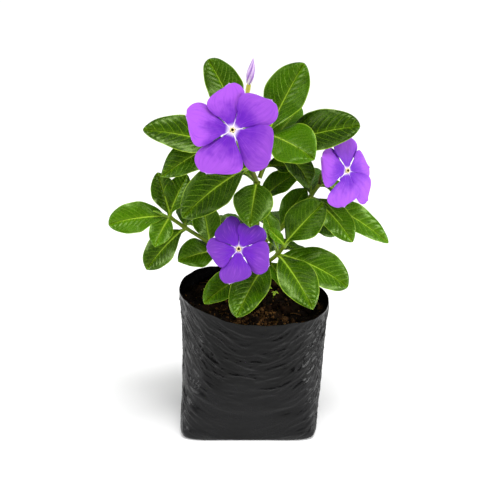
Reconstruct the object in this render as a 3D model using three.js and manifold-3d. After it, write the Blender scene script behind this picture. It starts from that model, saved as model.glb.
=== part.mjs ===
// A potted vinca: a leafy plant with three violet flowers and a bud in a black film grow bag.
// Millimetres, +Z up, seen from the front along +Y. The origin is the middle of the bag's flat foot.

import * as THREE from 'three';
import { mergeVertices } from 'three/addons/utils/BufferGeometryUtils.js';
import Module from 'manifold-3d';

const wasm = await Module();
wasm.setup();

// The bag
const BAG_HEIGHT = 77;
const BAG_RIM_TILT = 4;
const BAG_RIM_RADIUS = 41.4;
const BAG_RIM_HALF_DEPTH = 38.8;
const BAG_RIM_SHIFT = 3.4;
const BAG_FOOT_HALF_WIDTH = 38;
const BAG_FOOT_HALF_DEPTH = 29.4;
const BAG_FOOT_SQUARENESS = 8;
const BAG_FOOT_ROUNDING = 2.5;
const BAG_FOOT_TURNS = [0, 0.35, 0.7, 1];
const RIM_RIPPLE = 0.5;
const RIM_RIPPLE_COUNT = 5;
const BAG_WALL = 1.4;
const BAG_FLOOR = 1.2;
const BAG_SIDES = 48;
const BAG_WALL_RINGS = 12;
const WALL_SHARES = [0.08, 0.22, 0.4, 0.6, 0.8];
const FOLD_COUNT = 34;
const FOLD_DEPTH = 0.7;
const FOLD_WIDTH = 2.4;
const FOLD_LENGTH = 15;
const FOLD_SIDE_SLANT = 0.5;
const FOLD_SLANT_SPREAD = 0.3;
const LOWEST_FOLD = 0.12;
const FOLD_HEIGHT_SPAN = 0.8;

// The soil
const CLEARANCE = 0.3;
const SOIL_GAP = 0.6;
const SOIL_BELOW_RIM = 7;
const SOIL_LUMP = 1.3;
const SOIL_RINGS = 6;

// The leaves
const BLADE_THICKNESS = 0.8;
const PETIOLE_THICKNESS = 1.7;
const PETIOLE_HALF_WIDTH = 0.85;
const PETIOLE_SHARE = 0.07;
const WIDEST_SHARE = 0.5;
const BASE_TAPER = 0.85;
const BLUNT_TIP = 0.72;
const TIP_CROWDING = 1.4;
const BLADE_SECTION = 8;
const FEWEST_SECTIONS = 4;
const LARGE_LEAF = 28;
const ROOT_DEPTH = 0.6;
const BLADE_FOLD = 14;
const BLADE_BULGE = 0.05;
const BLADE_WAVE = 0.7;
const BLADE_WAVE_TURN = 9;
const STIFF_HALF_WIDTH = 4;

// The flowers
const PETAL_THICKNESS = 0.7;
const PETAL_SECTIONS = 6;
const PETAL_STRIPS = 3;
const PETAL_WIDTH = 0.47;
const PETAL_LEAST_GAP = 62;
const PETAL_EVEN_GAP = 72;
const PETAL_FULLNESS = 0.62;
const PETAL_WIDEST_POWER = 1.7;
const PETAL_FOOT_HALF_WIDTH = 0.9;
const THROAT_SHARE = 0.14;
const PETAL_SKEW = -0.16;
const PETAL_TWIST = 5;
const THROAT_RADIUS = 2.7;
const TUBE_SIDES = 10;
const TUBE_RADIUS = 1.15;
const TUBE_WAIST = 0.86;
const TUBE_LIP = 0.3;
const TUBE_MOUTH = 0.75;
const TUBE_MOUTH_DEPTH = 4;
const SEPAL_LENGTH = 3.4;
const SEPAL_COUNT = 5;
const CALYX_RADIUS = 1.7;
const CALYX_BORE = 1.3;
const CALYX_FOOT = -2.6;
const CALYX_SHOULDER = -1;
const CALYX_LIP = 0.3;
const SEPAL_SPREAD = 0.5;
const SEPAL_THICKNESS = 0.35;
const STALK_RADIUS = 0.85;
const STALK_STEPS = 4;

// The bud: radius and share of its length along the tube, and the swell of its wound petals
const BUD_TUBE_PROFILE = [[0, 0], [0.8, 0], [0.85, 0.5], [1.25, 0.8], [1.1, 1], [0, 1]];
const BUD_SECTIONS = 9;
const BUD_SIDES = 15;
const BUD_FOOT_SWELL = 0.18;
const BUD_SWELL_SPAN = 0.8;
const BUD_SWELL_POWER = 0.8;
const BUD_GROOVE_COUNT = 5;
const BUD_GROOVE_DEPTH = 0.09;
const BUD_TWIST = 7;
const BUD_TIP_RADIUS = 0.25;

// The stems
const STEM_SIDES = 7;
const STEM_STEPS = 9;
const KNUCKLE_SWELL = 1.08;
const KNUCKLE_ROWS = 5;

// Each shoot: the points of its path are its leaf nodes, and each leaf names its node. Azimuths
// turn from +X towards +Y. The rise is that of the line from a leaf's root to its tip, in
// degrees, and the droop is how far the leaf bends along its length.
const LEADER = {
  name: 'leading_stem',
  radius: 1.9,
  path: [
    [4.2, 0, 46],
    [4.4, 0, 82.5],
    [4.6, 0, 107.5],
    [4.8, -2, 130.5],
    [4.8, -3, 144.5],
    [1, -3, 153.5],
    [-4, 1, 159.5],
    [-7, 3, 168.5],
    [-5, 4, 175.5],
  ],
  thinFrom: 4,
  thinRadius: 1.3,
  leaves: [
    { node: 8, azimuth: 156, rise: 61, droop: -10, length: 37, width: 20.5, roll: -40, tip: 0.5 },
    { node: 6, azimuth: 180, rise: 14, droop: -20, length: 53.5, width: 22, roll: -41, tip: 0.6 },
    { node: 7, azimuth: 194, rise: -26, droop: -20, length: 45, width: 21, roll: -40, tip: 0.8 },
    { node: 5, azimuth: 207, rise: -29, droop: -25, length: 46, width: 24, roll: -42 },
    { node: 4, azimuth: 261, rise: -33, droop: -35, length: 29.5, width: 22, roll: -10, tip: 0.85 },
    { node: 4, azimuth: 150, rise: 14, droop: -30, length: 34, width: 17, roll: 0 },
    { node: 3, azimuth: 20, rise: 32, droop: -30, length: 31, width: 15, roll: 25 },
    { node: 6, azimuth: 82, rise: 20, droop: -30, length: 38, width: 19, roll: 0 },
    { node: 7, azimuth: 118, rise: 10, droop: -25, length: 30, width: 16, roll: 0 },
    { node: 2, azimuth: 130, rise: -4, droop: -35, length: 32, width: 16, roll: 0 },
  ],
};

const TOP_RIGHT = {
  name: 'top_right_shoot',
  radius: 1.3,
  path: [
    [6.2, -1.9, 146.4],
    [8.5, 0, 152.5],
    [11, 5, 159.5],
    [11, 7, 167.5],
  ],
  leaves: [
    { node: 3, azimuth: 25, rise: 60, droop: -10, length: 42.6, width: 24.5, roll: 40, tip: 0.6 },
    { node: 2, azimuth: 54, rise: 27, droop: -20, length: 35, width: 15, roll: 20 },
    { node: 2, azimuth: 352, rise: 18, droop: -20, length: 51.5, width: 25, roll: 42, tip: 0.5 },
    { node: 3, azimuth: 318, rise: -11, droop: -26, length: 33, width: 26, roll: 40, tip: 0.8 },
    { node: 1, azimuth: 20, rise: -10, droop: -20, length: 18, width: 10, roll: 40 },
    { node: 2, azimuth: 345, rise: -40, droop: -80, length: 30, width: 15, roll: 40 },
    { node: 1, azimuth: 95, rise: 5, droop: -30, length: 36, width: 18, roll: 0 },
  ],
};

const LEFT_BRANCH = {
  name: 'left_branch',
  radius: 1.2,
  path: [
    [4.6, 0, 88.5],
    [-6, -4, 97.5],
    [-15, -4, 104.5],
    [-21, -4, 109.5],
    [-34, -6, 119.5],
    [-42, -6, 125.5],
  ],
  leaves: [
    { node: 5, azimuth: 184, rise: -6, droop: -25, length: 33.5, width: 18.5, roll: -50, tip: 0.6 },
    { node: 5, azimuth: 129, rise: 64, droop: -10, length: 25, width: 14.5, roll: -25 },
    { node: 5, azimuth: 39, rise: 59, droop: -15, length: 25, width: 15, roll: 35 },
    { node: 5, azimuth: 205, rise: 28, droop: 0, length: 11, width: 3.6, roll: 0 },
    { node: 5, azimuth: 243, rise: -34, droop: -35, length: 20, width: 13, roll: -20 },
    { node: 4, azimuth: 196, rise: -45, droop: -20, length: 31.5, width: 18, roll: -45 },
    { node: 3, azimuth: 122, rise: 70, droop: -10, length: 22, width: 16, roll: -20 },
    { node: 2, azimuth: 205, rise: -3, droop: -30, length: 25.5, width: 18, roll: -40 },
    { node: 4, azimuth: 85, rise: 10, droop: -30, length: 24, width: 13, roll: 0 },
  ],
};

const RIGHT_LOW = {
  name: 'low_right_shoot',
  radius: 1.2,
  path: [
    [4.6, 0, 94.5],
    [11, -6, 99.5],
    [16, -12, 106.5],
    [19.5, -15, 112.5],
  ],
  leaves: [
    { node: 3, azimuth: 15, rise: 46, droop: -10, length: 31.5, width: 21, roll: 50, tip: 0.5 },
    { node: 3, azimuth: 158, rise: 42, droop: -5, length: 13.5, width: 6.5, roll: -40 },
    { node: 2, azimuth: 303, rise: -30, droop: -30, length: 39, width: 21, roll: 20, tip: 0.8 },
    { node: 2, azimuth: 357, rise: -26, droop: -30, length: 43, width: 23, roll: 40, tip: 0.6 },
    { node: 1, azimuth: 244, rise: -23, droop: -30, length: 42.5, width: 20.5, roll: -15, tip: 0.55 },
    { node: 2, azimuth: 155, rise: 69, droop: -5, length: 26, width: 12, roll: -20 },
    { node: 1, azimuth: 305, rise: -30, droop: -30, length: 20, width: 11, roll: 10 },
  ],
};

const RIGHT_BRANCH = {
  name: 'right_branch',
  radius: 1.2,
  path: [
    [4.6, 0, 104.5],
    [18, 2, 115.5],
    [28, 2, 126.5],
    [34, 2, 134.5],
    [38.5, 4, 140.5],
  ],
  leaves: [
    { node: 3, azimuth: 338, rise: -43, droop: -25, length: 34, width: 16, roll: 45 },
    { node: 3, azimuth: 2, rise: -33, droop: -20, length: 52, width: 16, roll: 45 },
    { node: 2, azimuth: 4, rise: -38, droop: -20, length: 26, width: 15, roll: 45 },
    { node: 4, azimuth: 30, rise: -30, droop: -30, length: 20, width: 11, roll: 50 },
    { node: 1, azimuth: 30, rise: 51, droop: -10, length: 26, width: 15, roll: 35 },
    { node: 3, azimuth: 88, rise: 5, droop: -30, length: 34, width: 17, roll: 0 },
    { node: 2, azimuth: 62, rise: -12, droop: -30, length: 30, width: 15, roll: 0 },
  ],
};

const FRONT_LOW = {
  name: 'low_front_shoot',
  radius: 1.2,
  path: [
    [4.6, 0, 84.5],
    [2, -7, 91.5],
    [-1.5, -11, 97],
    [-4, -13, 102],
  ],
  leaves: [
    { node: 1, azimuth: 219, rise: -12, droop: -35, length: 34, width: 17, roll: -30 },
  ],
};

const BACK_LEFT = {
  name: 'back_left_shoot',
  radius: 1.2,
  path: [
    [4.6, 0, 86.5],
    [1, 12, 93],
    [-4, 21, 98],
    [-7, 28, 103],
  ],
  leaves: [
    { node: 3, azimuth: 155, rise: -4, droop: -30, length: 33, width: 18, roll: 0 },
    { node: 3, azimuth: 62, rise: -8, droop: -30, length: 28, width: 15, roll: 0 },
    { node: 2, azimuth: 200, rise: -16, droop: -30, length: 25, width: 14, roll: 0 },
    { node: 3, azimuth: 108, rise: -2, droop: -30, length: 26, width: 14, roll: 0 },
    { node: 1, azimuth: 120, rise: -14, droop: -30, length: 32, width: 16, roll: 0 },
  ],
};

const BACK_RIGHT = {
  name: 'back_right_shoot',
  radius: 1.2,
  path: [
    [4.6, 0, 92.5],
    [10, 11, 97],
    [14, 19, 101],
    [17, 26, 105],
  ],
  leaves: [
    { node: 3, azimuth: 50, rise: -14, droop: -30, length: 33, width: 17, roll: 0 },
    { node: 3, azimuth: 105, rise: -6, droop: -30, length: 31, width: 17, roll: 0 },
    { node: 2, azimuth: 350, rise: -26, droop: -30, length: 24, width: 13, roll: 0 },
    { node: 3, azimuth: 140, rise: 4, droop: -30, length: 22, width: 13, roll: 0 },
    { node: 1, azimuth: 60, rise: -18, droop: -30, length: 32, width: 16, roll: 0 },
  ],
};

// The flowers: the middle of the face, the way it looks, the tube behind it, and for each petal
// its angle round the face, from its right-hand side upwards, and its share of the radius
const FLOWERS = [
  {
    name: 'top_flower',
    shoot: 'leading_stem',
    stalkFrom: [-7, 3, 168.5],
    centre: [-7.8, -26, 181.7],
    azimuth: 270,
    lift: 24,
    radius: 23.6,
    tube: 21,
    cup: 0.5,
    petals: [[103, 0.98], [46, 1.04], [-29, 1.02], [-112, 1.07], [171, 1.03]],
  },
  {
    name: 'front_flower',
    shoot: 'low_front_shoot',
    stalkFrom: [-4, -13, 102],
    centre: [-4.8, -29.5, 117.2],
    azimuth: 270,
    lift: 30,
    radius: 17.3,
    tube: 17,
    cup: 1,
    petals: [[119, 1], [58, 0.92], [-20, 1.03], [-96, 1.07], [193, 0.93]],
  },
  {
    name: 'right_flower',
    shoot: 'right_branch',
    stalkFrom: [38.5, 4, 140.5],
    centre: [52.5, -7, 152.5],
    azimuth: 308,
    lift: 22,
    radius: 18,
    tube: 19,
    cup: -2.5,
    petals: [[78, 1], [3, 0.96], [-50, 1.2], [-97, 1.03], [148, 0.88]],
  },
];

// The furled bud beside the top flower
const BUD = {
  shoot: 'leading_stem',
  stalkFrom: [-5, 4, 175.5],
  root: [-2.2, 2.4, 180.5],
  tip: [2.8, -4, 212.8],
  tubeShare: 0.555,
  radius: 2,
};

const COLOURS = {
  film: 0x1d1d1f,
  soil: 0x1a110b,
  leaf: 0x3f6f0d,
  petal: 0xa257e6,
  tube: 0xd9cf8c,
  bud: 0xcfa8dd,
};

function degrees(angle) {
  return THREE.MathUtils.degToRad(angle);
}

// A seeded random draw, alike on every run
function randomFrom(seed) {
  let state = seed;
  return () => {
    state = (state * 1664525 + 1013904223) % 4294967296;
    return state / 4294967296;
  };
}

// Solids and their joining

function toSolid(geometry) {
  const source = geometry.clone();
  source.deleteAttribute('normal');
  source.deleteAttribute('uv');
  const welded = mergeVertices(source, 1e-4);
  return new wasm.Manifold(new wasm.Mesh({
    numProp: 3,
    vertProperties: new Float32Array(welded.attributes.position.array),
    triVerts: new Uint32Array(welded.index.array),
  }));
}

// The largest body alone, so that no loose scrap of a join is kept
function toGeometry(solid) {
  const bodies = solid.decompose().sort((one, other) => other.volume() - one.volume());
  const mesh = bodies[0].getMesh();
  const geometry = new THREE.BufferGeometry();
  geometry.setAttribute('position', new THREE.BufferAttribute(mesh.vertProperties, 3));
  geometry.setIndex(new THREE.BufferAttribute(mesh.triVerts, 1));
  geometry.computeVertexNormals();
  return geometry;
}

function joinAll(geometries) {
  return geometries.map(toSolid).reduce((whole, next) => whole.add(next));
}

function tubeAlong(points, radius, sides, steps) {
  const outline = Array.from({ length: sides }, (_, side) => {
    const angle = (side / sides) * Math.PI * 2;
    return new THREE.Vector2(radius * Math.cos(angle), radius * Math.sin(angle));
  });
  const path = new THREE.CatmullRomCurve3(points, false, 'centripetal');
  return new THREE.ExtrudeGeometry(new THREE.Shape(outline), { steps, curveSegments: 1, extrudePath: path });
}

// A closed thin sheet round a grid of points on its middle surface, cut alike on both faces
function sheetGeometry(grid, thicknessOfRow) {
  const rows = grid.length;
  const columns = grid[0].length;
  const positions = [];
  for (const side of [0.5, -0.5]) {
    for (let row = 0; row < rows; row += 1) {
      for (let column = 0; column < columns; column += 1) {
        const before = grid[Math.max(row - 1, 0)][column];
        const after = grid[Math.min(row + 1, rows - 1)][column];
        const left = grid[row][Math.max(column - 1, 0)];
        const right = grid[row][Math.min(column + 1, columns - 1)];
        const along = new THREE.Vector3().subVectors(after, before);
        const across = new THREE.Vector3().subVectors(right, left);
        const normal = along.cross(across).normalize();
        const point = grid[row][column].clone().addScaledVector(normal, side * thicknessOfRow(row));
        positions.push(point.x, point.y, point.z);
      }
    }
  }
  const indices = [];
  const at = (face, row, column) => (face * rows + row) * columns + column;
  for (let row = 0; row < rows - 1; row += 1) {
    for (let column = 0; column < columns - 1; column += 1) {
      for (const face of [0, 1]) {
        const a = at(face, row, column);
        const b = at(face, row + 1, column);
        const c = at(face, row + 1, column + 1);
        const d = at(face, row, column + 1);
        const corners = face === 0 ? [a, b, c, a, c, d] : [a, c, b, a, d, c];
        indices.push(...corners);
      }
    }
  }
  const wall = (p, q) => {
    const [upperP, lowerP] = [at(0, ...p), at(1, ...p)];
    const [upperQ, lowerQ] = [at(0, ...q), at(1, ...q)];
    indices.push(upperP, lowerP, lowerQ, upperP, lowerQ, upperQ);
  };
  for (let row = 0; row < rows - 1; row += 1) {
    wall([row, 0], [row + 1, 0]);
    wall([row + 1, columns - 1], [row, columns - 1]);
  }
  for (let column = 0; column < columns - 1; column += 1) {
    wall([0, column + 1], [0, column]);
    wall([rows - 1, column], [rows - 1, column + 1]);
  }
  const geometry = new THREE.BufferGeometry();
  geometry.setAttribute('position', new THREE.Float32BufferAttribute(positions, 3));
  geometry.setIndex(indices);
  return geometry;
}

// The bag

const bagRandom = randomFrom(7);
const BAG_FOLDS = Array.from({ length: FOLD_COUNT }, () => {
  const angle = bagRandom() * Math.PI * 2;
  const slant = FOLD_SIDE_SLANT * Math.cos(angle) + FOLD_SLANT_SPREAD * (bagRandom() - 0.5);
  const height = LOWEST_FOLD + FOLD_HEIGHT_SPAN * bagRandom();
  return { angle, height, slant, depth: FOLD_DEPTH * (0.5 + 0.5 * bagRandom()) };
});

// How far the film is creased inwards at an angle and a share of the height
function creaseAt(angle, share) {
  let depth = 0;
  for (const fold of BAG_FOLDS) {
    const turned = Math.atan2(Math.sin(angle - fold.angle), Math.cos(angle - fold.angle));
    const across = turned * BAG_RIM_RADIUS;
    const up = (share - fold.height) * BAG_HEIGHT;
    const along = across * Math.cos(fold.slant) + up * Math.sin(fold.slant);
    const off = up * Math.cos(fold.slant) - across * Math.sin(fold.slant);
    depth += fold.depth * Math.exp(-((off / FOLD_WIDTH) ** 2) - (along / FOLD_LENGTH) ** 2);
  }
  return Math.min(depth, FOLD_DEPTH);
}

// A point on the bag's outline, moved inwards: a rounded rectangle at the foot, a circle at the rim
function bagPoint(angle, share, inset) {
  const halfWidth = BAG_FOOT_HALF_WIDTH + (BAG_RIM_RADIUS - BAG_FOOT_HALF_WIDTH) * share ** 2;
  const halfDepth = BAG_FOOT_HALF_DEPTH + (BAG_RIM_HALF_DEPTH - BAG_FOOT_HALF_DEPTH) * share;
  const squareness = 2 + (BAG_FOOT_SQUARENESS - 2) * (1 - share) ** 3;
  const cosine = Math.abs(Math.cos(angle)) / (halfWidth - inset);
  const sine = Math.abs(Math.sin(angle)) / (halfDepth - inset);
  const reach = (cosine ** squareness + sine ** squareness) ** (-1 / squareness);
  const shift = BAG_RIM_SHIFT * Math.sin(share * Math.PI / 2);
  return new THREE.Vector3(shift + reach * Math.cos(angle), reach * Math.sin(angle), 0);
}

function rimHeight(angle) {
  return BAG_HEIGHT - BAG_RIM_TILT * Math.cos(angle) + RIM_RIPPLE * Math.sin(RIM_RIPPLE_COUNT * angle + 1);
}

// A closed skin of rings round the bag's axis, from a bottom middle point to a top middle point
function ringedGeometry(rings, bottom, top) {
  const sides = rings[0].length;
  const positions = [...bottom];
  for (const ring of rings) {
    for (const point of ring) {
      positions.push(point.x, point.y, point.z);
    }
  }
  positions.push(...top);
  const last = rings.length * sides + 1;
  const indices = [];
  for (let side = 0; side < sides; side += 1) {
    const next = (side + 1) % sides;
    indices.push(0, 1 + next, 1 + side);
    for (let ring = 0; ring < rings.length - 1; ring += 1) {
      const low = 1 + ring * sides;
      const high = low + sides;
      indices.push(low + side, low + next, high + next, low + side, high + next, high + side);
    }
    const edge = 1 + (rings.length - 1) * sides;
    indices.push(last, edge + side, edge + next);
  }
  const geometry = new THREE.BufferGeometry();
  geometry.setAttribute('position', new THREE.Float32BufferAttribute(positions, 3));
  geometry.setIndex(indices);
  return geometry;
}

function bagAngles() {
  return Array.from({ length: BAG_SIDES }, (_, side) => (side / BAG_SIDES) * Math.PI * 2);
}

function bagGeometry() {
  const angles = bagAngles();
  const rings = [];
  for (const turn of BAG_FOOT_TURNS) {
    const inset = BAG_FOOT_ROUNDING * (1 - Math.sin(turn * Math.PI / 2));
    const height = BAG_FOOT_ROUNDING * (1 - Math.cos(turn * Math.PI / 2));
    rings.push(angles.map((angle) => bagPoint(angle, height / BAG_HEIGHT, inset).setZ(height)));
  }
  const first = BAG_FOOT_ROUNDING / BAG_HEIGHT;
  for (let ring = 1; ring <= BAG_WALL_RINGS; ring += 1) {
    const share = first + (1 - first) * ring / BAG_WALL_RINGS;
    const calm = ring === BAG_WALL_RINGS ? 0 : 1;
    rings.push(angles.map((angle) => (
      bagPoint(angle, share, calm * creaseAt(angle, share)).setZ(share * rimHeight(angle)))));
  }
  const innerShares = [1, ...[...WALL_SHARES].reverse(), BAG_FLOOR / BAG_HEIGHT];
  for (const share of innerShares) {
    const inset = BAG_WALL + (share < 0.05 ? BAG_FOOT_ROUNDING : 0);
    rings.push(angles.map((angle) => bagPoint(angle, share, inset).setZ(share * rimHeight(angle))));
  }
  return ringedGeometry(rings, [0, 0, 0], [0, 0, BAG_FLOOR]);
}

// The soil

function soilHeight(x, y) {
  const lumps = Math.sin(0.33 * x + 1.1) * Math.cos(0.29 * y - 0.4) + 0.6 * Math.sin(0.61 * x - 0.47 * y);
  return SOIL_LUMP * lumps;
}

function soilSolid() {
  const angles = bagAngles();
  const inset = BAG_WALL + SOIL_GAP;
  const rings = [];
  const footShare = (BAG_FLOOR + 2 * CLEARANCE) / BAG_HEIGHT;
  rings.push(angles.map((angle) => (
    bagPoint(angle, footShare, inset + BAG_FOOT_ROUNDING).setZ(footShare * rimHeight(angle)))));
  for (const share of WALL_SHARES) {
    rings.push(angles.map((angle) => bagPoint(angle, share, inset).setZ(share * rimHeight(angle))));
  }
  const topShare = 1 - SOIL_BELOW_RIM / BAG_HEIGHT;
  for (let ring = 0; ring < SOIL_RINGS; ring += 1) {
    const spread = 1 - ring / SOIL_RINGS;
    rings.push(angles.map((angle) => {
      const edge = bagPoint(angle, topShare, inset);
      const height = topShare * BAG_HEIGHT - BAG_RIM_TILT * Math.cos(angle) * spread;
      const point = new THREE.Vector3(BAG_RIM_SHIFT, 0, 0).lerp(edge, spread);
      const calm = Math.min(1, 0.5 + ring);
      return point.setZ(height + calm * soilHeight(point.x, point.y));
    }));
  }
  const middle = topShare * BAG_HEIGHT + soilHeight(BAG_RIM_SHIFT, 0);
  const bottom = BAG_FLOOR + CLEARANCE;
  return toSolid(ringedGeometry(rings, [0, 0, bottom], [BAG_RIM_SHIFT, 0, middle]));
}

// The leaves

// The half width of a blade at a share of its length: a narrow stalk, a tapering base, and a
// rounded tip that is sharper the larger the leaf's tip value
function bladeHalfWidth(leaf, share) {
  const beyond = Math.max(0, (share - PETIOLE_SHARE) / (1 - PETIOLE_SHARE));
  const rising = Math.sin(Math.PI / 2 * Math.min(1, beyond / WIDEST_SHARE)) ** BASE_TAPER;
  const past = Math.max(0, beyond - WIDEST_SHARE) / (1 - WIDEST_SHARE);
  const falling = Math.max(0, 1 - past ** 2) ** (leaf.tip ?? BLUNT_TIP);
  return Math.max((leaf.width / 2) * rising * falling, PETIOLE_HALF_WIDTH * (1 - 0.55 * share));
}

// The middle surface of a leaf that grows from a point
function leafGrid(leaf, root, sections, strips) {
  const azimuth = degrees(leaf.azimuth);
  const droop = degrees(leaf.droop || 0.5);
  const firstRise = degrees(leaf.rise) - droop / 2;
  const arcLength = leaf.length * (droop / 2) / Math.sin(droop / 2);
  const outwards = new THREE.Vector3(Math.cos(azimuth), Math.sin(azimuth), 0);
  const up = new THREE.Vector3(0, 0, 1);
  const grid = [];
  for (let section = 0; section <= sections; section += 1) {
    const share = 1 - (1 - section / sections) ** TIP_CROWDING;
    const rise = firstRise + droop * share;
    const out = (arcLength / droop) * (Math.sin(rise) - Math.sin(firstRise));
    const high = (arcLength / droop) * (Math.cos(firstRise) - Math.cos(rise));
    const middle = root.clone().addScaledVector(outwards, out).addScaledVector(up, high);
    const along = outwards.clone().multiplyScalar(Math.cos(rise)).addScaledVector(up, Math.sin(rise));
    const across = new THREE.Vector3(-Math.sin(azimuth), Math.cos(azimuth), 0);
    across.applyAxisAngle(along, degrees(leaf.roll) * Math.min(1, share * 2));
    const normal = new THREE.Vector3().crossVectors(along, across);
    const halfWidth = bladeHalfWidth(leaf, share);
    const row = [];
    for (let strip = 0; strip <= strips; strip += 1) {
      const side = (2 * strip) / strips - 1;
      const lifted = Math.abs(side) * halfWidth * Math.sin(degrees(BLADE_FOLD));
      const bulge = 4 * BLADE_BULGE * leaf.width * Math.abs(side) * (1 - Math.abs(side)) * share;
      const turn = BLADE_WAVE_TURN * share + leaf.azimuth + 2 * Math.sign(side);
      const wave = BLADE_WAVE * side ** 2 * Math.sin(turn);
      const calm = Math.min(1, halfWidth / STIFF_HALF_WIDTH);
      row.push(middle.clone()
        .addScaledVector(across, side * halfWidth * Math.cos(degrees(BLADE_FOLD)))
        .addScaledVector(normal, lifted + calm * (bulge + wave)));
    }
    grid.push(row);
  }
  return grid;
}

function leafGeometry(leaf, root) {
  const sections = Math.max(FEWEST_SECTIONS, Math.round(leaf.length / BLADE_SECTION));
  const strips = leaf.length < LARGE_LEAF ? 2 : 4;
  return sheetGeometry(leafGrid(leaf, root, sections, strips), (section) => (
    Math.max(BLADE_THICKNESS, PETIOLE_THICKNESS - 4 * section / sections)));
}

// The flowers

function towards(flower) {
  const azimuth = degrees(flower.azimuth);
  const lift = degrees(flower.lift);
  return new THREE.Vector3(
    Math.cos(azimuth) * Math.cos(lift),
    Math.sin(azimuth) * Math.cos(lift),
    Math.sin(lift),
  );
}

// Turns a shape made round +Z, face up, to look the way the flower looks
function placeFlower(geometry, flower) {
  const facing = towards(flower);
  const right = new THREE.Vector3(0, 0, 1).cross(facing).normalize();
  const upper = new THREE.Vector3().crossVectors(facing, right);
  const turn = new THREE.Matrix4().makeBasis(right, upper, facing);
  geometry.applyMatrix4(turn);
  geometry.translate(...flower.centre);
  return geometry;
}

// The angles from a petal to the one before it and to the one after it
function gapsOf(flower, index) {
  const count = flower.petals.length;
  const angleOf = (number) => flower.petals[(number + count) % count][0];
  const before = (angleOf(index - 1) - angleOf(index) + 360) % 360;
  const after = (angleOf(index) - angleOf(index + 1) + 360) % 360;
  return { before, after };
}

// A petal fills its half of the way to each neighbour, and joins them round the throat
function petalGeometry(flower, index) {
  const [angle, lengthShare] = flower.petals[index];
  const gaps = gapsOf(flower, index);
  const radius = flower.radius * lengthShare;
  const first = TUBE_RADIUS + CLEARANCE + 0.15;
  const turned = degrees(angle);
  const twist = degrees(PETAL_TWIST);
  const grid = [];
  for (let section = 0; section <= PETAL_SECTIONS; section += 1) {
    const share = Math.sin((section / PETAL_SECTIONS) * Math.PI / 2);
    const reach = first + (radius - first) * share;
    const swell = Math.sin(Math.PI * share ** PETAL_WIDEST_POWER) ** PETAL_FULLNESS;
    const row = [];
    for (let strip = 0; strip <= PETAL_STRIPS; strip += 1) {
      const side = (2 * strip) / PETAL_STRIPS - 1;
      const gap = side > 0 ? gaps.before : gaps.after;
      const gapShare = Math.max(gap, PETAL_LEAST_GAP) / PETAL_EVEN_GAP;
      const full = PETAL_WIDTH * flower.radius * gapShare * swell;
      const joined = share <= THROAT_SHARE ? reach * Math.tan(degrees(gap / 2)) : 0;
      const halfWidth = Math.max(full, joined, PETAL_FOOT_HALF_WIDTH - 0.4 * share);
      const across = side * halfWidth * Math.cos(twist) + PETAL_SKEW * radius * share ** 4;
      const height = flower.cup * share ** 2 + side * halfWidth * Math.sin(twist);
      row.push(new THREE.Vector3(
        reach * Math.cos(turned) - across * Math.sin(turned),
        reach * Math.sin(turned) + across * Math.cos(turned),
        height,
      ));
    }
    grid.push(row);
  }
  return sheetGeometry(grid, () => PETAL_THICKNESS);
}

function latheSolid(profile, sides) {
  const geometry = new THREE.LatheGeometry(profile.map(([r, z]) => new THREE.Vector2(r, z)), sides);
  geometry.rotateX(Math.PI / 2);
  return geometry;
}

// Five petals joined by a small ring round the tube
function corollaGeometry(flower) {
  const inner = TUBE_RADIUS + CLEARANCE;
  const half = PETAL_THICKNESS / 2;
  const ring = latheSolid([
    [inner, -half], [THROAT_RADIUS, -half], [THROAT_RADIUS, half], [inner, half], [inner, -half],
  ], 3 * flower.petals.length);
  const petals = flower.petals.map((_, index) => petalGeometry(flower, index));
  return placeFlower(toGeometry(joinAll([ring, ...petals])), flower);
}

// The narrow tube behind the petals, with its small open mouth
function tubeGeometry(flower) {
  const top = PETAL_THICKNESS / 2 + TUBE_LIP;
  return placeFlower(latheSolid([
    [0, -flower.tube],
    [TUBE_WAIST, -flower.tube],
    [TUBE_WAIST, -flower.tube / 2],
    [TUBE_RADIUS, -flower.tube / 4],
    [TUBE_RADIUS, top],
    [TUBE_MOUTH, top],
    [TUBE_MOUTH, top - TUBE_MOUTH_DEPTH],
    [0, top - TUBE_MOUTH_DEPTH],
  ], TUBE_SIDES), flower);
}

// A cup with five pointed sepals round the foot of a flower's tube, which stands at the origin
function calyxGeometry() {
  const corners = 2 * SEPAL_COUNT;
  const ringOf = (radiusAt, heightAt) => Array.from({ length: corners }, (_, corner) => {
    const angle = (corner / corners) * Math.PI * 2;
    const pointed = corner % 2;
    const reach = radiusAt[pointed];
    return new THREE.Vector3(reach * Math.cos(angle), reach * Math.sin(angle), heightAt[pointed]);
  });
  const tip = CALYX_RADIUS + SEPAL_SPREAD;
  const rings = [
    ringOf([STALK_RADIUS, STALK_RADIUS], [CALYX_FOOT, CALYX_FOOT]),
    ringOf([CALYX_RADIUS, CALYX_RADIUS], [CALYX_SHOULDER, CALYX_SHOULDER]),
    ringOf([CALYX_RADIUS, tip], [CALYX_LIP, SEPAL_LENGTH]),
    ringOf([CALYX_BORE, tip - SEPAL_THICKNESS], [CALYX_LIP, SEPAL_LENGTH - CALYX_LIP]),
    ringOf([CALYX_BORE, CALYX_BORE], [-CLEARANCE, -CLEARANCE]),
  ];
  return ringedGeometry(rings, [0, 0, CALYX_FOOT], [0, 0, -CLEARANCE]);
}

// A stalk with its calyx, from a leafy stem to the foot of a flower's tube
function stalkGeometries(from, foot, along) {
  const start = new THREE.Vector3(...from);
  const end = foot.clone().addScaledVector(along, -1.2);
  const bend = end.clone().addScaledVector(along, -start.distanceTo(end) * 0.4);
  const calyx = calyxGeometry();
  calyx.applyQuaternion(new THREE.Quaternion().setFromUnitVectors(new THREE.Vector3(0, 0, 1), along));
  calyx.translate(foot.x, foot.y, foot.z);
  return [tubeAlong([start, bend, end], STALK_RADIUS, STEM_SIDES, STALK_STEPS), calyx];
}

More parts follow.
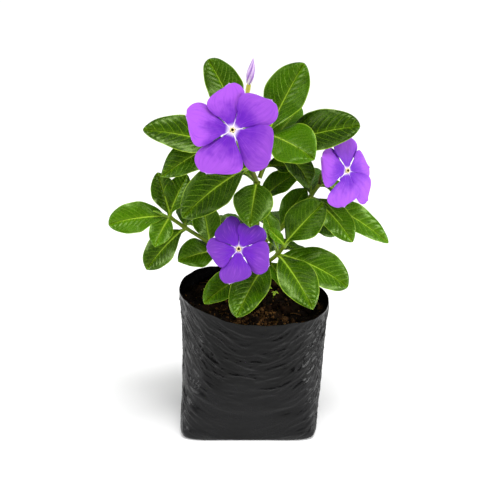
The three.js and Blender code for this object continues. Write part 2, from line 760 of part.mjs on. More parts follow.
function stalkOfFlower(flower) {
  const facing = towards(flower);
  const foot = new THREE.Vector3(...flower.centre).addScaledVector(facing, -flower.tube);
  return stalkGeometries(flower.stalkFrom, foot, facing);
}

// The bud

function budDirection() {
  return new THREE.Vector3().subVectors(new THREE.Vector3(...BUD.tip), new THREE.Vector3(...BUD.root));
}

function placeBud(geometry) {
  const along = budDirection().normalize();
  geometry.applyQuaternion(new THREE.Quaternion().setFromUnitVectors(new THREE.Vector3(0, 0, 1), along));
  geometry.translate(...BUD.root);
  return geometry;
}

function budTubeGeometry() {
  const length = budDirection().length() * BUD.tubeShare;
  const profile = BUD_TUBE_PROFILE.map(([radius, share]) => [radius, share * length]);
  return placeBud(latheSolid(profile, TUBE_SIDES));
}

// The petals are wound into a slim spindle with spiral grooves
function budGeometry() {
  const length = budDirection().length();
  const start = length * BUD.tubeShare + CLEARANCE;
  const rings = [];
  for (let section = 0; section <= BUD_SECTIONS; section += 1) {
    const share = section / BUD_SECTIONS;
    const phase = Math.min(1, BUD_FOOT_SWELL + BUD_SWELL_SPAN * share ** BUD_SWELL_POWER);
    const swell = Math.sin(Math.PI * phase) ** BUD_SWELL_POWER;
    const ring = [];
    for (let side = 0; side < BUD_SIDES; side += 1) {
      const angle = (side / BUD_SIDES) * Math.PI * 2;
      const groove = 1 + BUD_GROOVE_DEPTH * Math.cos(BUD_GROOVE_COUNT * angle - BUD_TWIST * share);
      const reach = Math.max(BUD_TIP_RADIUS, BUD.radius * swell * groove);
      const height = start + (length - start - BUD_TIP_RADIUS) * share;
      ring.push(new THREE.Vector3(reach * Math.cos(angle), reach * Math.sin(angle), height));
    }
    rings.push(ring);
  }
  return placeBud(ringedGeometry(rings, [0, 0, start], [0, 0, length]));
}

// The leafy stems

function stemSolid(shoot) {
  const points = shoot.path.map((point) => new THREE.Vector3(...point));
  const thinFrom = shoot.thinFrom ?? points.length;
  const pieces = [tubeAlong(points.slice(0, thinFrom + 1), shoot.radius, STEM_SIDES, STEM_STEPS)];
  if (shoot.thinFrom) {
    pieces.push(tubeAlong(points.slice(thinFrom), shoot.thinRadius, STEM_SIDES, STEM_STEPS));
    const knuckle = new THREE.SphereGeometry(shoot.radius * KNUCKLE_SWELL, STEM_SIDES, KNUCKLE_ROWS);
    knuckle.translate(...shoot.path[thinFrom]);
    pieces.push(knuckle);
  }
  return joinAll(pieces);
}

function shootSolid(shoot) {
  let solid = stemSolid(shoot);
  for (const leaf of shoot.leaves) {
    const azimuth = degrees(leaf.azimuth);
    const sunk = new THREE.Vector3(Math.cos(azimuth), Math.sin(azimuth), 0).multiplyScalar(ROOT_DEPTH);
    const root = new THREE.Vector3(...shoot.path[leaf.node]).sub(sunk);
    solid = solid.add(toSolid(leafGeometry(leaf, root)));
  }
  for (const flower of FLOWERS) {
    if (flower.shoot === shoot.name) {
      solid = solid.add(joinAll(stalkOfFlower(flower)));
    }
  }
  if (BUD.shoot === shoot.name) {
    const root = new THREE.Vector3(...BUD.root);
    solid = solid.add(joinAll(stalkGeometries(BUD.stalkFrom, root, budDirection().normalize())));
  }
  return solid;
}

// The room that a side shoot leaves round the leading stem
function leaderRoom() {
  return stemSolid({
    ...LEADER,
    radius: LEADER.radius + CLEARANCE,
    thinRadius: LEADER.thinRadius + CLEARANCE,
  });
}

// The whole plant in its bag

const plant = new THREE.Group();

function addPiece(name, geometry, colour, roughness) {
  const material = new THREE.MeshStandardMaterial({ color: colour, roughness, metalness: 0 });
  const mesh = new THREE.Mesh(geometry, material);
  mesh.name = name;
  plant.add(mesh);
}

const room = leaderRoom();
addPiece('grow_bag', bagGeometry(), COLOURS.film, 0.4);
addPiece('soil', toGeometry(soilSolid().subtract(room)), COLOURS.soil, 0.95);
addPiece(LEADER.name, toGeometry(shootSolid(LEADER)), COLOURS.leaf, 0.45);
for (const shoot of [TOP_RIGHT, LEFT_BRANCH, RIGHT_LOW, RIGHT_BRANCH, FRONT_LOW, BACK_LEFT, BACK_RIGHT]) {
  addPiece(shoot.name, toGeometry(shootSolid(shoot).subtract(room)), COLOURS.leaf, 0.45);
}
for (const flower of FLOWERS) {
  addPiece(`${flower.name}_petals`, corollaGeometry(flower), COLOURS.petal, 0.5);
  addPiece(`${flower.name}_tube`, tubeGeometry(flower), COLOURS.tube, 0.6);
}
addPiece('bud_tube', budTubeGeometry(), COLOURS.tube, 0.6);
addPiece('bud', budGeometry(), COLOURS.bud, 0.5);

export default plant;
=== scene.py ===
# A potted vinca in a black film grow bag: the fine surfaces and finishes of its film, soil,
# stems, leaves and flowers.
#
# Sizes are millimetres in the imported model's frame, +Z up and the front towards -Y, and angles
# are degrees. MM turns millimetres into Blender's metres where a mesh is made.

import math

import bmesh
import bpy
import numpy as np
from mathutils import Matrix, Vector, noise


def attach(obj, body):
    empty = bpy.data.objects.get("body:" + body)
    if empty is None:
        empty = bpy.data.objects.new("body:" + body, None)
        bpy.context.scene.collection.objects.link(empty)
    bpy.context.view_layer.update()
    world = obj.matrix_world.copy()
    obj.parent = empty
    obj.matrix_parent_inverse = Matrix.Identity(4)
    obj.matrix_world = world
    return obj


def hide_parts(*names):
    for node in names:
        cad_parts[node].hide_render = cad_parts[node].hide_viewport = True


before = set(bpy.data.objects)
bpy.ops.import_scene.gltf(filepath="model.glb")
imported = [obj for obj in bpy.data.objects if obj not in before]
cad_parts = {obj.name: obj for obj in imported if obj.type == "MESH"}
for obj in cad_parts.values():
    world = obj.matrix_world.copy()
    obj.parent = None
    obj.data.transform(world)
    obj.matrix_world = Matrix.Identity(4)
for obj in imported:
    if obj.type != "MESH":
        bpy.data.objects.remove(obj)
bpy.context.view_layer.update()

MM = 0.001

# The camera
CAMERA_TARGET = (1.1, 0.0, 103.5)
CAMERA_ELEVATION = 24
CAMERA_DISTANCE = 760
CAMERA_LENS = 100
CAMERA_SENSOR = 36

# The bag, with the ears that the corners of its foot make
BAG_HEIGHT = 77
BAG_RIM_TILT = 4
BAG_RIM_RADIUS = 41.4
BAG_RIM_HALF_DEPTH = 38.8
BAG_RIM_SHIFT = 3.4
BAG_FOOT_HALF_WIDTH = 38
BAG_FOOT_HALF_DEPTH = 29.4
BAG_FOOT_SQUARENESS = 8
BAG_FOOT_ROUNDING = 1.4
FILM_THICKNESS = 0.35
FILM_SIDES = 480
FILM_ROWS = 150
FILM_INNER_ROWS = 24
FILM_FLOOR = 0.6
EAR_HEIGHT = 4.5
EAR_SPREAD = 3
EAR_DEPTH = 0.8
RIM_RIPPLE = 0.5
RIM_RIPPLE_COUNT = 5
RIM_CALM = 0.8

# The large folds of the film, drawn by the same rule as on the solid bag, with the share of
# their depth that is kept here
FOLD_COUNT = 34
FOLD_SEED = 7
FOLD_DEPTH = 0.7
FOLD_DEPTH_KEPT = 0.8
FOLD_WIDTH = 2.4
FOLD_LENGTH = 15
FOLD_SIDE_SLANT = 0.5
FOLD_SLANT_SPREAD = 0.3
LOWEST_FOLD = 0.12
FOLD_HEIGHT_SPAN = 0.8
DRAW_FACTOR = 1664525
DRAW_STEP = 1013904223
DRAW_RANGE = 4294967296

# The small ripples between the folds, on curves that sag from the sides to the middle of the
# front: how far they sag, and the length, width and height of each size of ripple, with the
# share of that height that is left in the middle of the front and of the back
RIPPLE_SAG = 0.8
RIPPLE_WANDER = 1.6
RIPPLES = [(10.0, 2.2, 0.75, 0.4), (6.0, 1.1, 0.45, 0.15), (20.0, 6.5, 0.7, 1.0)]
RIPPLE_SHARPNESS = 2.2
RIPPLE_MEAN = 0.45

# The sharp creases, and the most that all the relief together moves the film in or out
SHARP_CREASES = 520
CREASE_SEED = 21
CREASE_DEPTH = 0.5
CREASE_WIDTH = 0.42
CREASE_LENGTH = 8.5
CREASE_SIDE_SLANT = 0.68
CREASE_SLANT_SPREAD = 0.16
CREASE_BOW = 0.012
MIDDLE_CREASING = 0.22
RELIEF_LIMIT = 1.0

# The soil
SOIL_BELOW_RIM = 7
SOIL_LUMP = 1.3
SOIL_SIDES = 260
SOIL_RINGS = 70
SOIL_WALL_SHARES = (0.03, 0.1, 0.25, 0.4, 0.55, 0.7, 0.82)
SOIL_FILM_GAP = 0.2
CRUMB_SEED = 5
CRUMB_MARGIN = 2.2
CRUMB_COUNT = 620
LUMP_COUNT = 70
FIBRE_COUNT = 46
CLUMP_CENTRE = (5, -17)
CLUMP_REACH = (8, 5)
CLUMP_CRUMBS = 380

# The unevenness of the soil's surface: the height, width and seed of each size of lump
SOIL_GRAINS = [(0.55, 5.0, 0.0), (0.5, 2.2, 7.3), (0.34, 1.0, 3.1)]

# The seedlings of weeds on the soil: the foot, the height and the way that each one leans
SEEDLING_SEED = 9
SEEDLINGS = [
    ((11.5, 15), 5.5, 250), ((14, 11), 4.0, 330), ((9, 19), 4.2, 200), ((-22, 9), 3.2, 240),
]
SEEDLING_LEAF = 2.6
SEEDLING_LEAF_THICKNESS = 0.26

# The rows and columns of points of a seedling's leaf and of a sepal
SMALL_SHEET_ROWS = 9
SMALL_SHEET_COLUMNS = 5

# The leaves
BLADE_THICKNESS = 0.34
PETIOLE_THICKNESS = 1.5
PETIOLE_HALF_WIDTH = 0.85
PETIOLE_SHARE = 0.07
WIDEST_SHARE = 0.5
BASE_TAPER = 0.85
BLUNT_TIP = 0.72
TIP_CROWDING = 1.4
RIB_CROWDING = 1.45
ROOT_DEPTH = 0.6
BLADE_FOLD = 14
BLADE_BULGE = 0.05
BLADE_WAVE = 0.7
BLADE_WAVE_TURN = 9
STIFF_HALF_WIDTH = 4
EDGE_RIPPLE = 0.28
EDGE_RIPPLE_TURN = 24
VEIN_PAIRS = 11
VEIN_SPACING = 2.4
VEIN_LEAN = 0.55
VEIN_CURVE = 0.075
VEIN_STAGGER = 0.35
QUILT_HEIGHT = 0.7
QUILT_LEVEL = 0.6
QUILT_HALF_WIDTH = 6
RIB_GROOVE = 0.42
RIB_WIDTH = 0.6
RIB_DEPTH = 0.75
TONE_SPREAD = 0.2
YOUNG_LEAF = 15
YOUNG_LEAF_TONE = 0.35

# The leafy stems, with their ribs and the swelling at each leaf node
SHOOT_SEED = 40
STEM_SIDES = 14
STEM_RIBS = 5
STEM_RIB_HEIGHT = 0.035
STEM_TAPER = 0.85
NODE_SWELLING = 0.22
NODE_REACH = 1.6

# The flowers
FLOWER_SEED = 70
PETAL_THICKNESS = 0.36
PETAL_SECTIONS = 30
PETAL_STRIPS = 20
PETAL_WIDTH = 0.47
LEAST_PETAL_GAP = 62
EVEN_PETAL_GAP = 72
PETAL_WIDEST_POWER = 1.7
PETAL_FULLNESS = 0.62
PETAL_FOOT_HALF_WIDTH = 0.9
PETAL_SKEW = -0.16
PETAL_TWIST = 5
PETAL_TIP = 0.55
PETAL_TIP_WIDTH = 0.26
PETAL_CORNER = 0.035
PETAL_CREASE = 0.3
PETAL_WAVE = 0.45
PETAL_CURL = 0.7
PETAL_CROWN = 0.5
THROAT_SHARE = 0.14
SLIT_SHARE = 0.42
SLIT_WIDTH = 0.14
STREAK_FAN = 8
TUBE_SIDES = 24
TUBE_RADIUS = 1.15
TUBE_MOUTH = 0.5
TUBE_MOUTH_DEPTH = 4
SEPAL_COUNT = 5
SEPAL_LENGTH = 3.6
SEPAL_THICKNESS = 0.28
CALYX_RADIUS = 1.6
STALK_RADIUS = 0.8

# The furled bud: its rings and their points, its petals and how far they wind round it
BUD_SECTIONS = 60
BUD_SIDES = 60
BUD_PETALS = 5
BUD_WINDING = 9
BUD_OVERLAP = 0.16

# The lights, in metres and watts: the name, place, width and power of each lamp, the point
# that they look at, the sky all round, and the sun with its spread and tilt in degrees
LAMPS = [
    ("key", (-0.5, -0.55, 0.95), 0.4, 1.5),
    ("left_side", (-0.9, -0.3, 0.35), 0.55, 6.5),
    ("right_side", (0.9, -0.3, 0.35), 0.55, 8.5),
]
LAMP_AIM = (0, 0, 0.11)
SKY_STRENGTH = 0.3
SUN_STRENGTH = 2.4
SUN_SPREAD = 28
SUN_TILT = (12, 8, 0)

# Half the width of the floor, in metres
FLOOR_HALF = 4.0

# The stems: each path's points are its leaf nodes. A leaf is its node, azimuth, rise, droop,
# length, width and roll, and the sharpness of its tip where that isn't the usual one.
LEADER = {
    "name": "leading_stem",
    "radius": 1.9,
    "path": [
        (4.2, 0, 46), (4.4, 0, 82.5), (4.6, 0, 107.5), (4.8, -2, 130.5), (4.8, -3, 144.5),
        (1, -3, 153.5), (-4, 1, 159.5), (-7, 3, 168.5), (-5, 4, 175.5),
    ],
    "thin_from": 4,
    "thin_radius": 1.3,
    "leaves": [
        (8, 156, 61, -10, 37, 20.5, -40, 0.5),
        (6, 180, 14, -20, 53.5, 22, -41, 0.6),
        (7, 194, -26, -20, 45, 21, -40, 0.8),
        (5, 207, -29, -25, 46, 24, -42),
        (4, 261, -33, -35, 29.5, 22, -10, 0.85),
        (4, 150, 14, -30, 34, 17, 0),
        (3, 20, 32, -30, 31, 15, 25),
        (6, 82, 20, -30, 38, 19, 0),
        (7, 118, 10, -25, 30, 16, 0),
        (2, 130, -4, -35, 32, 16, 0),
    ],
}

TOP_RIGHT = {
    "name": "top_right_shoot",
    "radius": 1.3,
    "path": [(6.2, -1.9, 146.4), (8.5, 0, 152.5), (11, 5, 159.5), (11, 7, 167.5)],
    "leaves": [
        (3, 25, 60, -10, 42.6, 24.5, 40, 0.6),
        (2, 54, 27, -20, 35, 15, 20),
        (2, 352, 18, -20, 51.5, 25, 42, 0.5),
        (3, 318, -11, -26, 33, 26, 40, 0.8),
        (1, 20, -10, -20, 18, 10, 40),
        (2, 345, -40, -80, 30, 15, 40),
        (1, 95, 5, -30, 36, 18, 0),
    ],
}

LEFT_BRANCH = {
    "name": "left_branch",
    "radius": 1.2,
    "path": [
        (4.6, 0, 88.5), (-6, -4, 97.5), (-15, -4, 104.5), (-21, -4, 109.5), (-34, -6, 119.5),
        (-42, -6, 125.5),
    ],
    "leaves": [
        (5, 184, -6, -25, 33.5, 18.5, -50, 0.6),
        (5, 129, 64, -10, 25, 14.5, -25),
        (5, 39, 59, -15, 25, 15, 35),
        (5, 205, 28, 0, 11, 3.6, 0),
        (5, 243, -34, -35, 20, 13, -20),
        (4, 196, -45, -20, 31.5, 18, -45),
        (3, 122, 70, -10, 22, 16, -20),
        (2, 205, -3, -30, 25.5, 18, -40),
        (4, 85, 10, -30, 24, 13, 0),
    ],
}

RIGHT_LOW = {
    "name": "low_right_shoot",
    "radius": 1.2,
    "path": [(4.6, 0, 94.5), (11, -6, 99.5), (16, -12, 106.5), (19.5, -15, 112.5)],
    "leaves": [
        (3, 15, 46, -10, 31.5, 21, 50, 0.5),
        (3, 158, 42, -5, 13.5, 6.5, -40),
        (2, 303, -30, -30, 39, 21, 20, 0.8),
        (2, 357, -26, -30, 43, 23, 40, 0.6),
        (1, 244, -23, -30, 42.5, 20.5, -15, 0.55),
        (2, 155, 69, -5, 26, 12, -20),
        (1, 305, -30, -30, 20, 11, 10),
    ],
}

RIGHT_BRANCH = {
    "name": "right_branch",
    "radius": 1.2,
    "path": [
        (4.6, 0, 104.5), (18, 2, 115.5), (28, 2, 126.5), (34, 2, 134.5), (38.5, 4, 140.5),
    ],
    "leaves": [
        (3, 338, -43, -25, 34, 16, 45),
        (3, 2, -33, -20, 52, 16, 45),
        (2, 4, -38, -20, 26, 15, 45),
        (4, 30, -30, -30, 20, 11, 50),
        (1, 30, 51, -10, 26, 15, 35),
        (3, 88, 5, -30, 34, 17, 0),
        (2, 62, -12, -30, 30, 15, 0),
    ],
}

FRONT_LOW = {
    "name": "low_front_shoot",
    "radius": 1.2,
    "path": [(4.6, 0, 84.5), (2, -7, 91.5), (-1.5, -11, 97), (-4, -13, 102)],
    "leaves": [
        (1, 219, -12, -35, 34, 17, -30),
    ],
}

BACK_LEFT = {
    "name": "back_left_shoot",
    "radius": 1.2,
    "path": [(4.6, 0, 86.5), (1, 12, 93), (-4, 21, 98), (-7, 28, 103)],
    "leaves": [
        (3, 155, -4, -30, 33, 18, 0),
        (3, 62, -8, -30, 28, 15, 0),
        (2, 200, -16, -30, 25, 14, 0),
        (3, 108, -2, -30, 26, 14, 0),
        (1, 120, -14, -30, 32, 16, 0),
    ],
}

BACK_RIGHT = {
    "name": "back_right_shoot",
    "radius": 1.2,
    "path": [(4.6, 0, 92.5), (10, 11, 97), (14, 19, 101), (17, 26, 105)],
    "leaves": [
        (3, 50, -14, -30, 33, 17, 0),
        (3, 105, -6, -30, 31, 17, 0),
        (2, 350, -26, -30, 24, 13, 0),
        (3, 140, 4, -30, 22, 13, 0),
        (1, 60, -18, -30, 32, 16, 0),
    ],
}

SHOOTS = [
    LEADER, TOP_RIGHT, LEFT_BRANCH, RIGHT_LOW, RIGHT_BRANCH, FRONT_LOW, BACK_LEFT, BACK_RIGHT,
]

# The flowers: the middle of the face, the way it looks, its radius, the length of the tube
# behind it, how far its petals' tips come forward and the reach of the pale star at its throat.
# Each petal is its angle round the face, from the right-hand side upwards, its share of the
# radius and its lightness, which is painted light and shade: petals that lay in shade are
# given a darker violet and lit petals a lighter one.
FLOWERS = [
    {
        "name": "top_flower", "shoot": "leading_stem", "stalk_from": (-7, 3, 168.5),
        "centre": (-7.8, -26, 181.7), "azimuth": 270, "lift": 24, "radius": 23.6, "tube": 21,
        "cup": 0.5, "star": 3.3,
        "petals": [
            (103, 0.98, 0.85), (46, 1.04, 0.65), (-29, 1.02, 0.5), (-112, 1.07, 0.75),
            (171, 1.03, 0.95),
        ],
    },
    {
        "name": "front_flower", "shoot": "low_front_shoot", "stalk_from": (-4, -13, 102),
        "centre": (-4.8, -29.5, 117.2), "azimuth": 270, "lift": 30, "radius": 17.3, "tube": 17,
        "cup": 1, "star": 2.2,
        "petals": [
            (119, 1, 0), (58, 0.92, 0), (-20, 1.03, 0.25), (-96, 1.07, 0.2), (193, 0.93, 0.2),
        ],
    },
    {
        "name": "right_flower", "shoot": "right_branch", "stalk_from": (38.5, 4, 140.5),
        "centre": (52.5, -7, 152.5), "azimuth": 308, "lift": 22, "radius": 18, "tube": 19,
        "cup": -2.5, "star": 2.3,
        "petals": [
            (78, 1, 0.45), (3, 0.96, 0.65), (-50, 1.2, 0.7), (-97, 1.03, 0.75), (148, 0.88, 0.75),
        ],
    },
]

BUD = {
    "shoot": "leading_stem",
    "stalk_from": (-5, 4, 175.5),
    "root": (-2.2, 2.4, 180.5),
    "tip": (2.8, -4, 212.8),
    "tube_share": 0.555,
    "radius": 2.0,
}


# Small sums

def unit(vectors):
    return vectors / np.maximum(np.linalg.norm(vectors, axis=-1, keepdims=True), 1e-9)


def ease(low, high, value):
    """0 below low, 1 above high, with a smooth step between them."""
    share = np.clip((value - low) / (high - low), 0, 1)
    return share * share * (3 - 2 * share)


def circle_angles(count):
    """Even angles round a circle, in radians."""
    return np.arange(count) / count * 2 * math.pi


def swung(out, across, height, angle):
    """Points from their distances outwards, sideways and upwards, swung to an angle in radians."""
    return np.stack([
        out * math.cos(angle) - across * math.sin(angle),
        out * math.sin(angle) + across * math.cos(angle),
        height,
    ], axis=-1)


def turned_to(points, axes, origin):
    """Points that stand along +Z, turned to three other axes and moved to an origin."""
    turned = points[..., :1] * axes[0] + points[..., 1:2] * axes[1] + points[..., 2:] * axes[2]
    return turned + np.array(origin)


def turned_about(vector, axes, angles):
    """A vector turned about each row of axes by its own angle, in radians."""
    vector = np.broadcast_to(vector, axes.shape)
    cosine = np.cos(angles)[:, None]
    sine = np.sin(angles)[:, None]
    inline = np.sum(axes * vector, axis=1, keepdims=True) * axes
    return vector * cosine + np.cross(axes, vector) * sine + inline * (1 - cosine)


def noise_at(points, size, seed=0.0):
    """Smooth noise from -1 to 1 at each point, with lumps of about the given size."""
    flat = points.reshape(-1, 3) / size + seed
    values = [noise.noise(Vector(point)) for point in flat.tolist()]
    return np.array(values).reshape(points.shape[:-1])


# Meshes

def show(name, data):
    """Puts a mesh, a lamp or a camera in the scene."""
    shown = bpy.data.objects.new(name, data)
    bpy.context.scene.collection.objects.link(shown)
    return shown


class Surfaces:
    """Collects the closed surfaces of one piece.

    Each point keeps its place on its own leaf, petal or stem for the material: a vein count or
    a distance along, a distance or a fan across and a share of the length, then its nearness
    to the edge and the tone of the whole leaf or petal, which on a petal is painted light and
    shade.
    """

    def __init__(self):
        self.count = 0
        self.points = []
        self.faces = []
        self.finishes = []
        self.places = []
        self.edges = []
        self.tones_and_painted_light = []

    def add(self, points, faces, finishes=0, places=None, edges=0.0, tone=0.5):
        total = len(points)
        self.points.append(points)
        self.faces.extend([[corner + self.count for corner in face] for face in faces])
        self.finishes.append(np.broadcast_to(finishes, len(faces)))
        self.places.append(np.zeros((total, 3)) if places is None else places)
        self.edges.append(np.broadcast_to(edges, total))
        self.tones_and_painted_light.append(np.full(total, float(tone)))
        self.count += total

    def make(self, name, materials, sharp_angle=50):
        mesh = bpy.data.meshes.new(name)
        mesh.from_pydata((np.concatenate(self.points) * MM).tolist(), [], self.faces)
        mesh.polygons.foreach_set("material_index", np.concatenate(self.finishes).astype(np.int32))
        place = mesh.attributes.new("place", "FLOAT_VECTOR", "POINT")
        place.data.foreach_set("vector", np.concatenate(self.places).astype(np.float32).ravel())
        for fact, values in (("edge", self.edges), ("tone", self.tones_and_painted_light)):
            layer = mesh.attributes.new(fact, "FLOAT", "POINT")
            layer.data.foreach_set("value", np.concatenate(values).astype(np.float32))
        mesh.shade_smooth()
        mesh.set_sharp_from_angle(angle=math.radians(sharp_angle))
        for material in materials:
            mesh.materials.append(material)
        mesh.update()
        return show(name, mesh)


def place_piece(piece, slot_name, *nodes):
    """Puts a piece on the plant's one body, in the place of the solids that it stands for."""
    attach(piece, "root")
    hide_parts(*nodes)


def sheet_normals(grid):
    return unit(np.cross(np.gradient(grid, axis=0), np.gradient(grid, axis=1)))


def sheet_faces(rows, columns):
    """The faces of a closed thin sheet: its upper grid, its lower grid and the rim between.

    The finish is 0 on top and at the rim, and 1 below.
    """
    faces = []
    finishes = []
    lower = rows * columns
    for row in range(rows - 1):
        for column in range(columns - 1):
            first = row * columns + column
            last = first + columns
            faces.append([first, last, last + 1, first + 1])
            faces.append([lower + first, lower + first + 1, lower + last + 1, lower + last])
            finishes += [0, 1]
    rim = [row * columns for row in range(rows)]
    rim += [(rows - 1) * columns + column for column in range(1, columns)]
    rim += [row * columns + columns - 1 for row in range(rows - 2, -1, -1)]
    rim += [column for column in range(columns - 2, 0, -1)]
    for here, ahead in zip(rim, rim[1:] + rim[:1]):
        faces.append([here, lower + here, lower + ahead, ahead])
        finishes.append(0)
    return faces, finishes


def add_sheet(surfaces, upper, lower, finish=None, places=None, edges=0.0, tone=0.5):
    """Adds a closed thin sheet between two grids that have the same places and edges."""
    faces, finishes = sheet_faces(*upper.shape[:2])
    if places is not None:
        places = np.stack(np.broadcast_arrays(*places), axis=-1).reshape(-1, 3)
        places = np.concatenate([places, places])
    edges = np.broadcast_to(edges, upper.shape[:2]).ravel()
    surfaces.add(
        np.concatenate([upper.reshape(-1, 3), lower.reshape(-1, 3)]), faces,
        finishes if finish is None else finish, places=places,
        edges=np.concatenate([edges, edges]), tone=tone)


def ring_faces(rings, sides):
    """The faces of a closed skin of rings, with a first and a last point at its ends."""
    faces = []
    last = rings * sides + 1
    for side in range(sides):
        ahead = (side + 1) % sides
        faces.append([0, 1 + ahead, 1 + side])
        for ring in range(rings - 1):
            low = 1 + ring * sides
            high = low + sides
            faces.append([low + side, low + ahead, high + ahead, high + side])
        top = 1 + (rings - 1) * sides
        faces.append([last, top + side, top + ahead])
    return faces


def add_rings(surfaces, rings, first, last, places=None, **facts):
    """Adds a closed skin through an array of rings, rows by sides by 3."""
    rows, sides = rings.shape[:2]
    points = np.concatenate([[first], rings.reshape(-1, 3), [last]])
    if places is not None:
        flat = places.reshape(-1, 3)
        places = np.concatenate([flat[:1], flat, flat[-1:]])
    surfaces.add(points, ring_faces(rows, sides), places=places, **facts)


def smooth_path(points, step):
    """Points a step apart along the centripetal Catmull-Rom curve through the given points."""
    given = [np.array(point, float) for point in points]
    guide = [2 * given[0] - given[1], *given, 2 * given[-1] - given[-2]]
    path = []
    for index in range(len(given) - 1):
        corners = guide[index:index + 4]
        times = [0.0]
        for before, after in zip(corners, corners[1:]):
            times.append(times[-1] + math.sqrt(np.linalg.norm(after - before)))
        count = max(2, round(np.linalg.norm(corners[2] - corners[1]) / step))
        for moment in np.linspace(times[1], times[2], count, endpoint=False):
            path.append(curve_point(corners, times, moment))
    path.append(given[-1])
    return np.array(path)


def curve_point(corners, times, moment):
    """The point of one curve stretch at a moment, drawn together from its four corners."""
    points = corners
    for spans in (((0, 1), (1, 2), (2, 3)), ((0, 2), (1, 3)), ((1, 2),)):
        blended = []
        for index, (start, end) in enumerate(spans):
            share = (moment - times[start]) / (times[end] - times[start])
            blended.append(points[index] * (1 - share) + points[index + 1] * share)
        points = blended
    return points[0]


def add_tube(surfaces, path, radii, sides, **facts):
    """Adds a round tube along a path, with a radius for each of its points."""
    tangents = unit(np.gradient(path, axis=0))
    normal = np.cross(tangents[0], (0.31, 0.95, 0.12))
    travelled = np.concatenate([[0], np.cumsum(np.linalg.norm(np.diff(path, axis=0), axis=1))])
    angles = circle_angles(sides)
    rings = []
    for point, tangent, radius in zip(path, tangents, radii):
        normal = unit(normal - np.dot(normal, tangent) * tangent)
        sideways = np.cross(tangent, normal)
        circle = np.outer(np.cos(angles), normal) + np.outer(np.sin(angles), sideways)
        rings.append(point + circle * np.reshape(radius, (-1, 1)))
    rings = np.array(rings)
    places = np.zeros_like(rings)
    places[:, :, 0] = travelled[:, None]
    places[:, :, 1] = angles
    places[:, :, 2] = (travelled / travelled[-1])[:, None]
    add_rings(surfaces, rings, path[0], path[-1], places=places, **facts)


# Materials

def colour(red, green, blue):
    """A screen colour, 0 to 255, as the linear values that a shader takes."""
    def linear(value):
        share = value / 255
        return share / 12.92 if share < 0.04 else ((share + 0.055) / 1.055) ** 2.4
    return (linear(red), linear(green), linear(blue), 1.0)


class Finish:
    """A procedural material, with short names for the nodes that it is made of."""

    def __init__(self, name):
        self.material = bpy.data.materials.new(name)
        self.material.use_nodes = True
        self.tree = self.material.node_tree
        self.shader = self.tree.nodes["Principled BSDF"]

    def node(self, kind, inputs=(), **settings):
        made = self.tree.nodes.new("ShaderNode" + kind)
        for key, value in settings.items():
            setattr(made, key, value)
        for key, value in dict(inputs).items():
            self.put(made.inputs[key], value)
        return made

    def put(self, socket, value):
        if isinstance(value, bpy.types.NodeSocket):
            self.tree.links.new(value, socket)
        else:
            socket.default_value = value

    def set(self, **values):
        """Sets the shader's own sockets: set(Roughness=0.4)."""
        for key, value in values.items():
            self.put(self.shader.inputs[key.replace("_", " ")], value)

    def maths(self, operation, *values):
        made = self.node("Math", operation=operation)
        for socket, value in zip(made.inputs, values):
            self.put(socket, value)
        return made.outputs[0]

    def step(self, value, low, high, start=0.0, end=1.0):
        """A smooth step from start to end as the value goes from low to high."""
        return self.node("MapRange", {
            "Value": value, "From Min": low, "From Max": high, "To Min": start, "To Max": end,
        }, interpolation_type="SMOOTHSTEP").outputs["Result"]

    def mix(self, share, first, second, blend="MIX"):
        made = self.node("Mix", data_type="RGBA", blend_type=blend)
        self.put(made.inputs[0], share)
        self.put(made.inputs[6], first)
        self.put(made.inputs[7], second)
        return made.outputs[2]

    def fact(self, name, output="Fac"):
        """What each point of the mesh carries under a name."""
        return self.node("Attribute", attribute_name=name).outputs[output]

    def split(self, vector):
        return self.node("SeparateXYZ", {"Vector": vector}).outputs

    def position(self):
        return self.node("TexCoord").outputs["Object"]

    def stretched(self, vector, scale):
        return self.node("Mapping", {"Vector": vector, "Scale": scale}).outputs[0]

    def noise(self, vector, size, detail=3.0, rough=0.55):
        """Noise with lumps of a size in the vector's own unit."""
        return self.node("TexNoise", {
            "Vector": vector, "Scale": 1 / size, "Detail": detail, "Roughness": rough,
        }).outputs["Fac"]

    def bump(self, height, distance, strength=1.0):
        """Relief from a height, 0 to 1, over a distance in metres."""
        made = self.node("Bump", {"Height": height, "Distance": distance, "Strength": strength})
        self.put(self.shader.inputs["Normal"], made.outputs[0])


def film_finish():
    film = Finish("black_film")
    place = film.position()
    height = film.split(place)["Z"]
    cloud = film.noise(film.stretched(place, (1, 1, 1.8)), 0.02, 4)
    # Random broad patches, with painted shade: the film is drawn darker above about 6 cm high and
    # lighter below about 3 cm
    patches_and_painted_shade = film.maths("ADD", cloud, film.step(height, 0.03, 0.06, 0.15, -0.2))
    grain = film.noise(place, 0.0011, 4)
    scuff = film.noise(film.stretched(place, (1, 1, 0.35)), 0.0035, 6, 0.7)
    base = film.mix(film.step(patches_and_painted_shade, 0.35, 0.7), colour(1, 1, 1), colour(15, 15, 16))
    dusty = film.mix(film.step(scuff, 0.6, 0.8, 0.0, 0.25), base, colour(46, 44, 40))
    film.set(Base_Color=dusty, Roughness=film.step(cloud, 0.3, 0.75, 0.2, 0.32))
    film.set(Specular_IOR_Level=0.16)
    film.bump(film.maths("ADD", grain, film.maths("MULTIPLY", scuff, 0.8)), 0.00012, 0.55)
    return film.material


def soil_finish():
    soil = Finish("potting_soil")
    place = soil.position()
    tone = soil.fact("tone")
    crumb = soil.noise(place, 0.0011, 6, 0.7)
    patch = soil.noise(place, 0.012, 3)
    dark = soil.mix(soil.step(crumb, 0.3, 0.75), colour(5, 3, 1), colour(28, 16, 7))
    warm = soil.mix(soil.step(patch, 0.45, 0.7, 0.0, 0.6), dark, colour(46, 27, 11))
    light = soil.mix(soil.step(tone, 0.55, 1.0, 0.0, 0.85), warm, colour(112, 78, 42))
    soil.set(Base_Color=light, Roughness=1.0, Specular_IOR_Level=0.1)
    soil.bump(crumb, 0.0006, 0.8)
    return soil.material


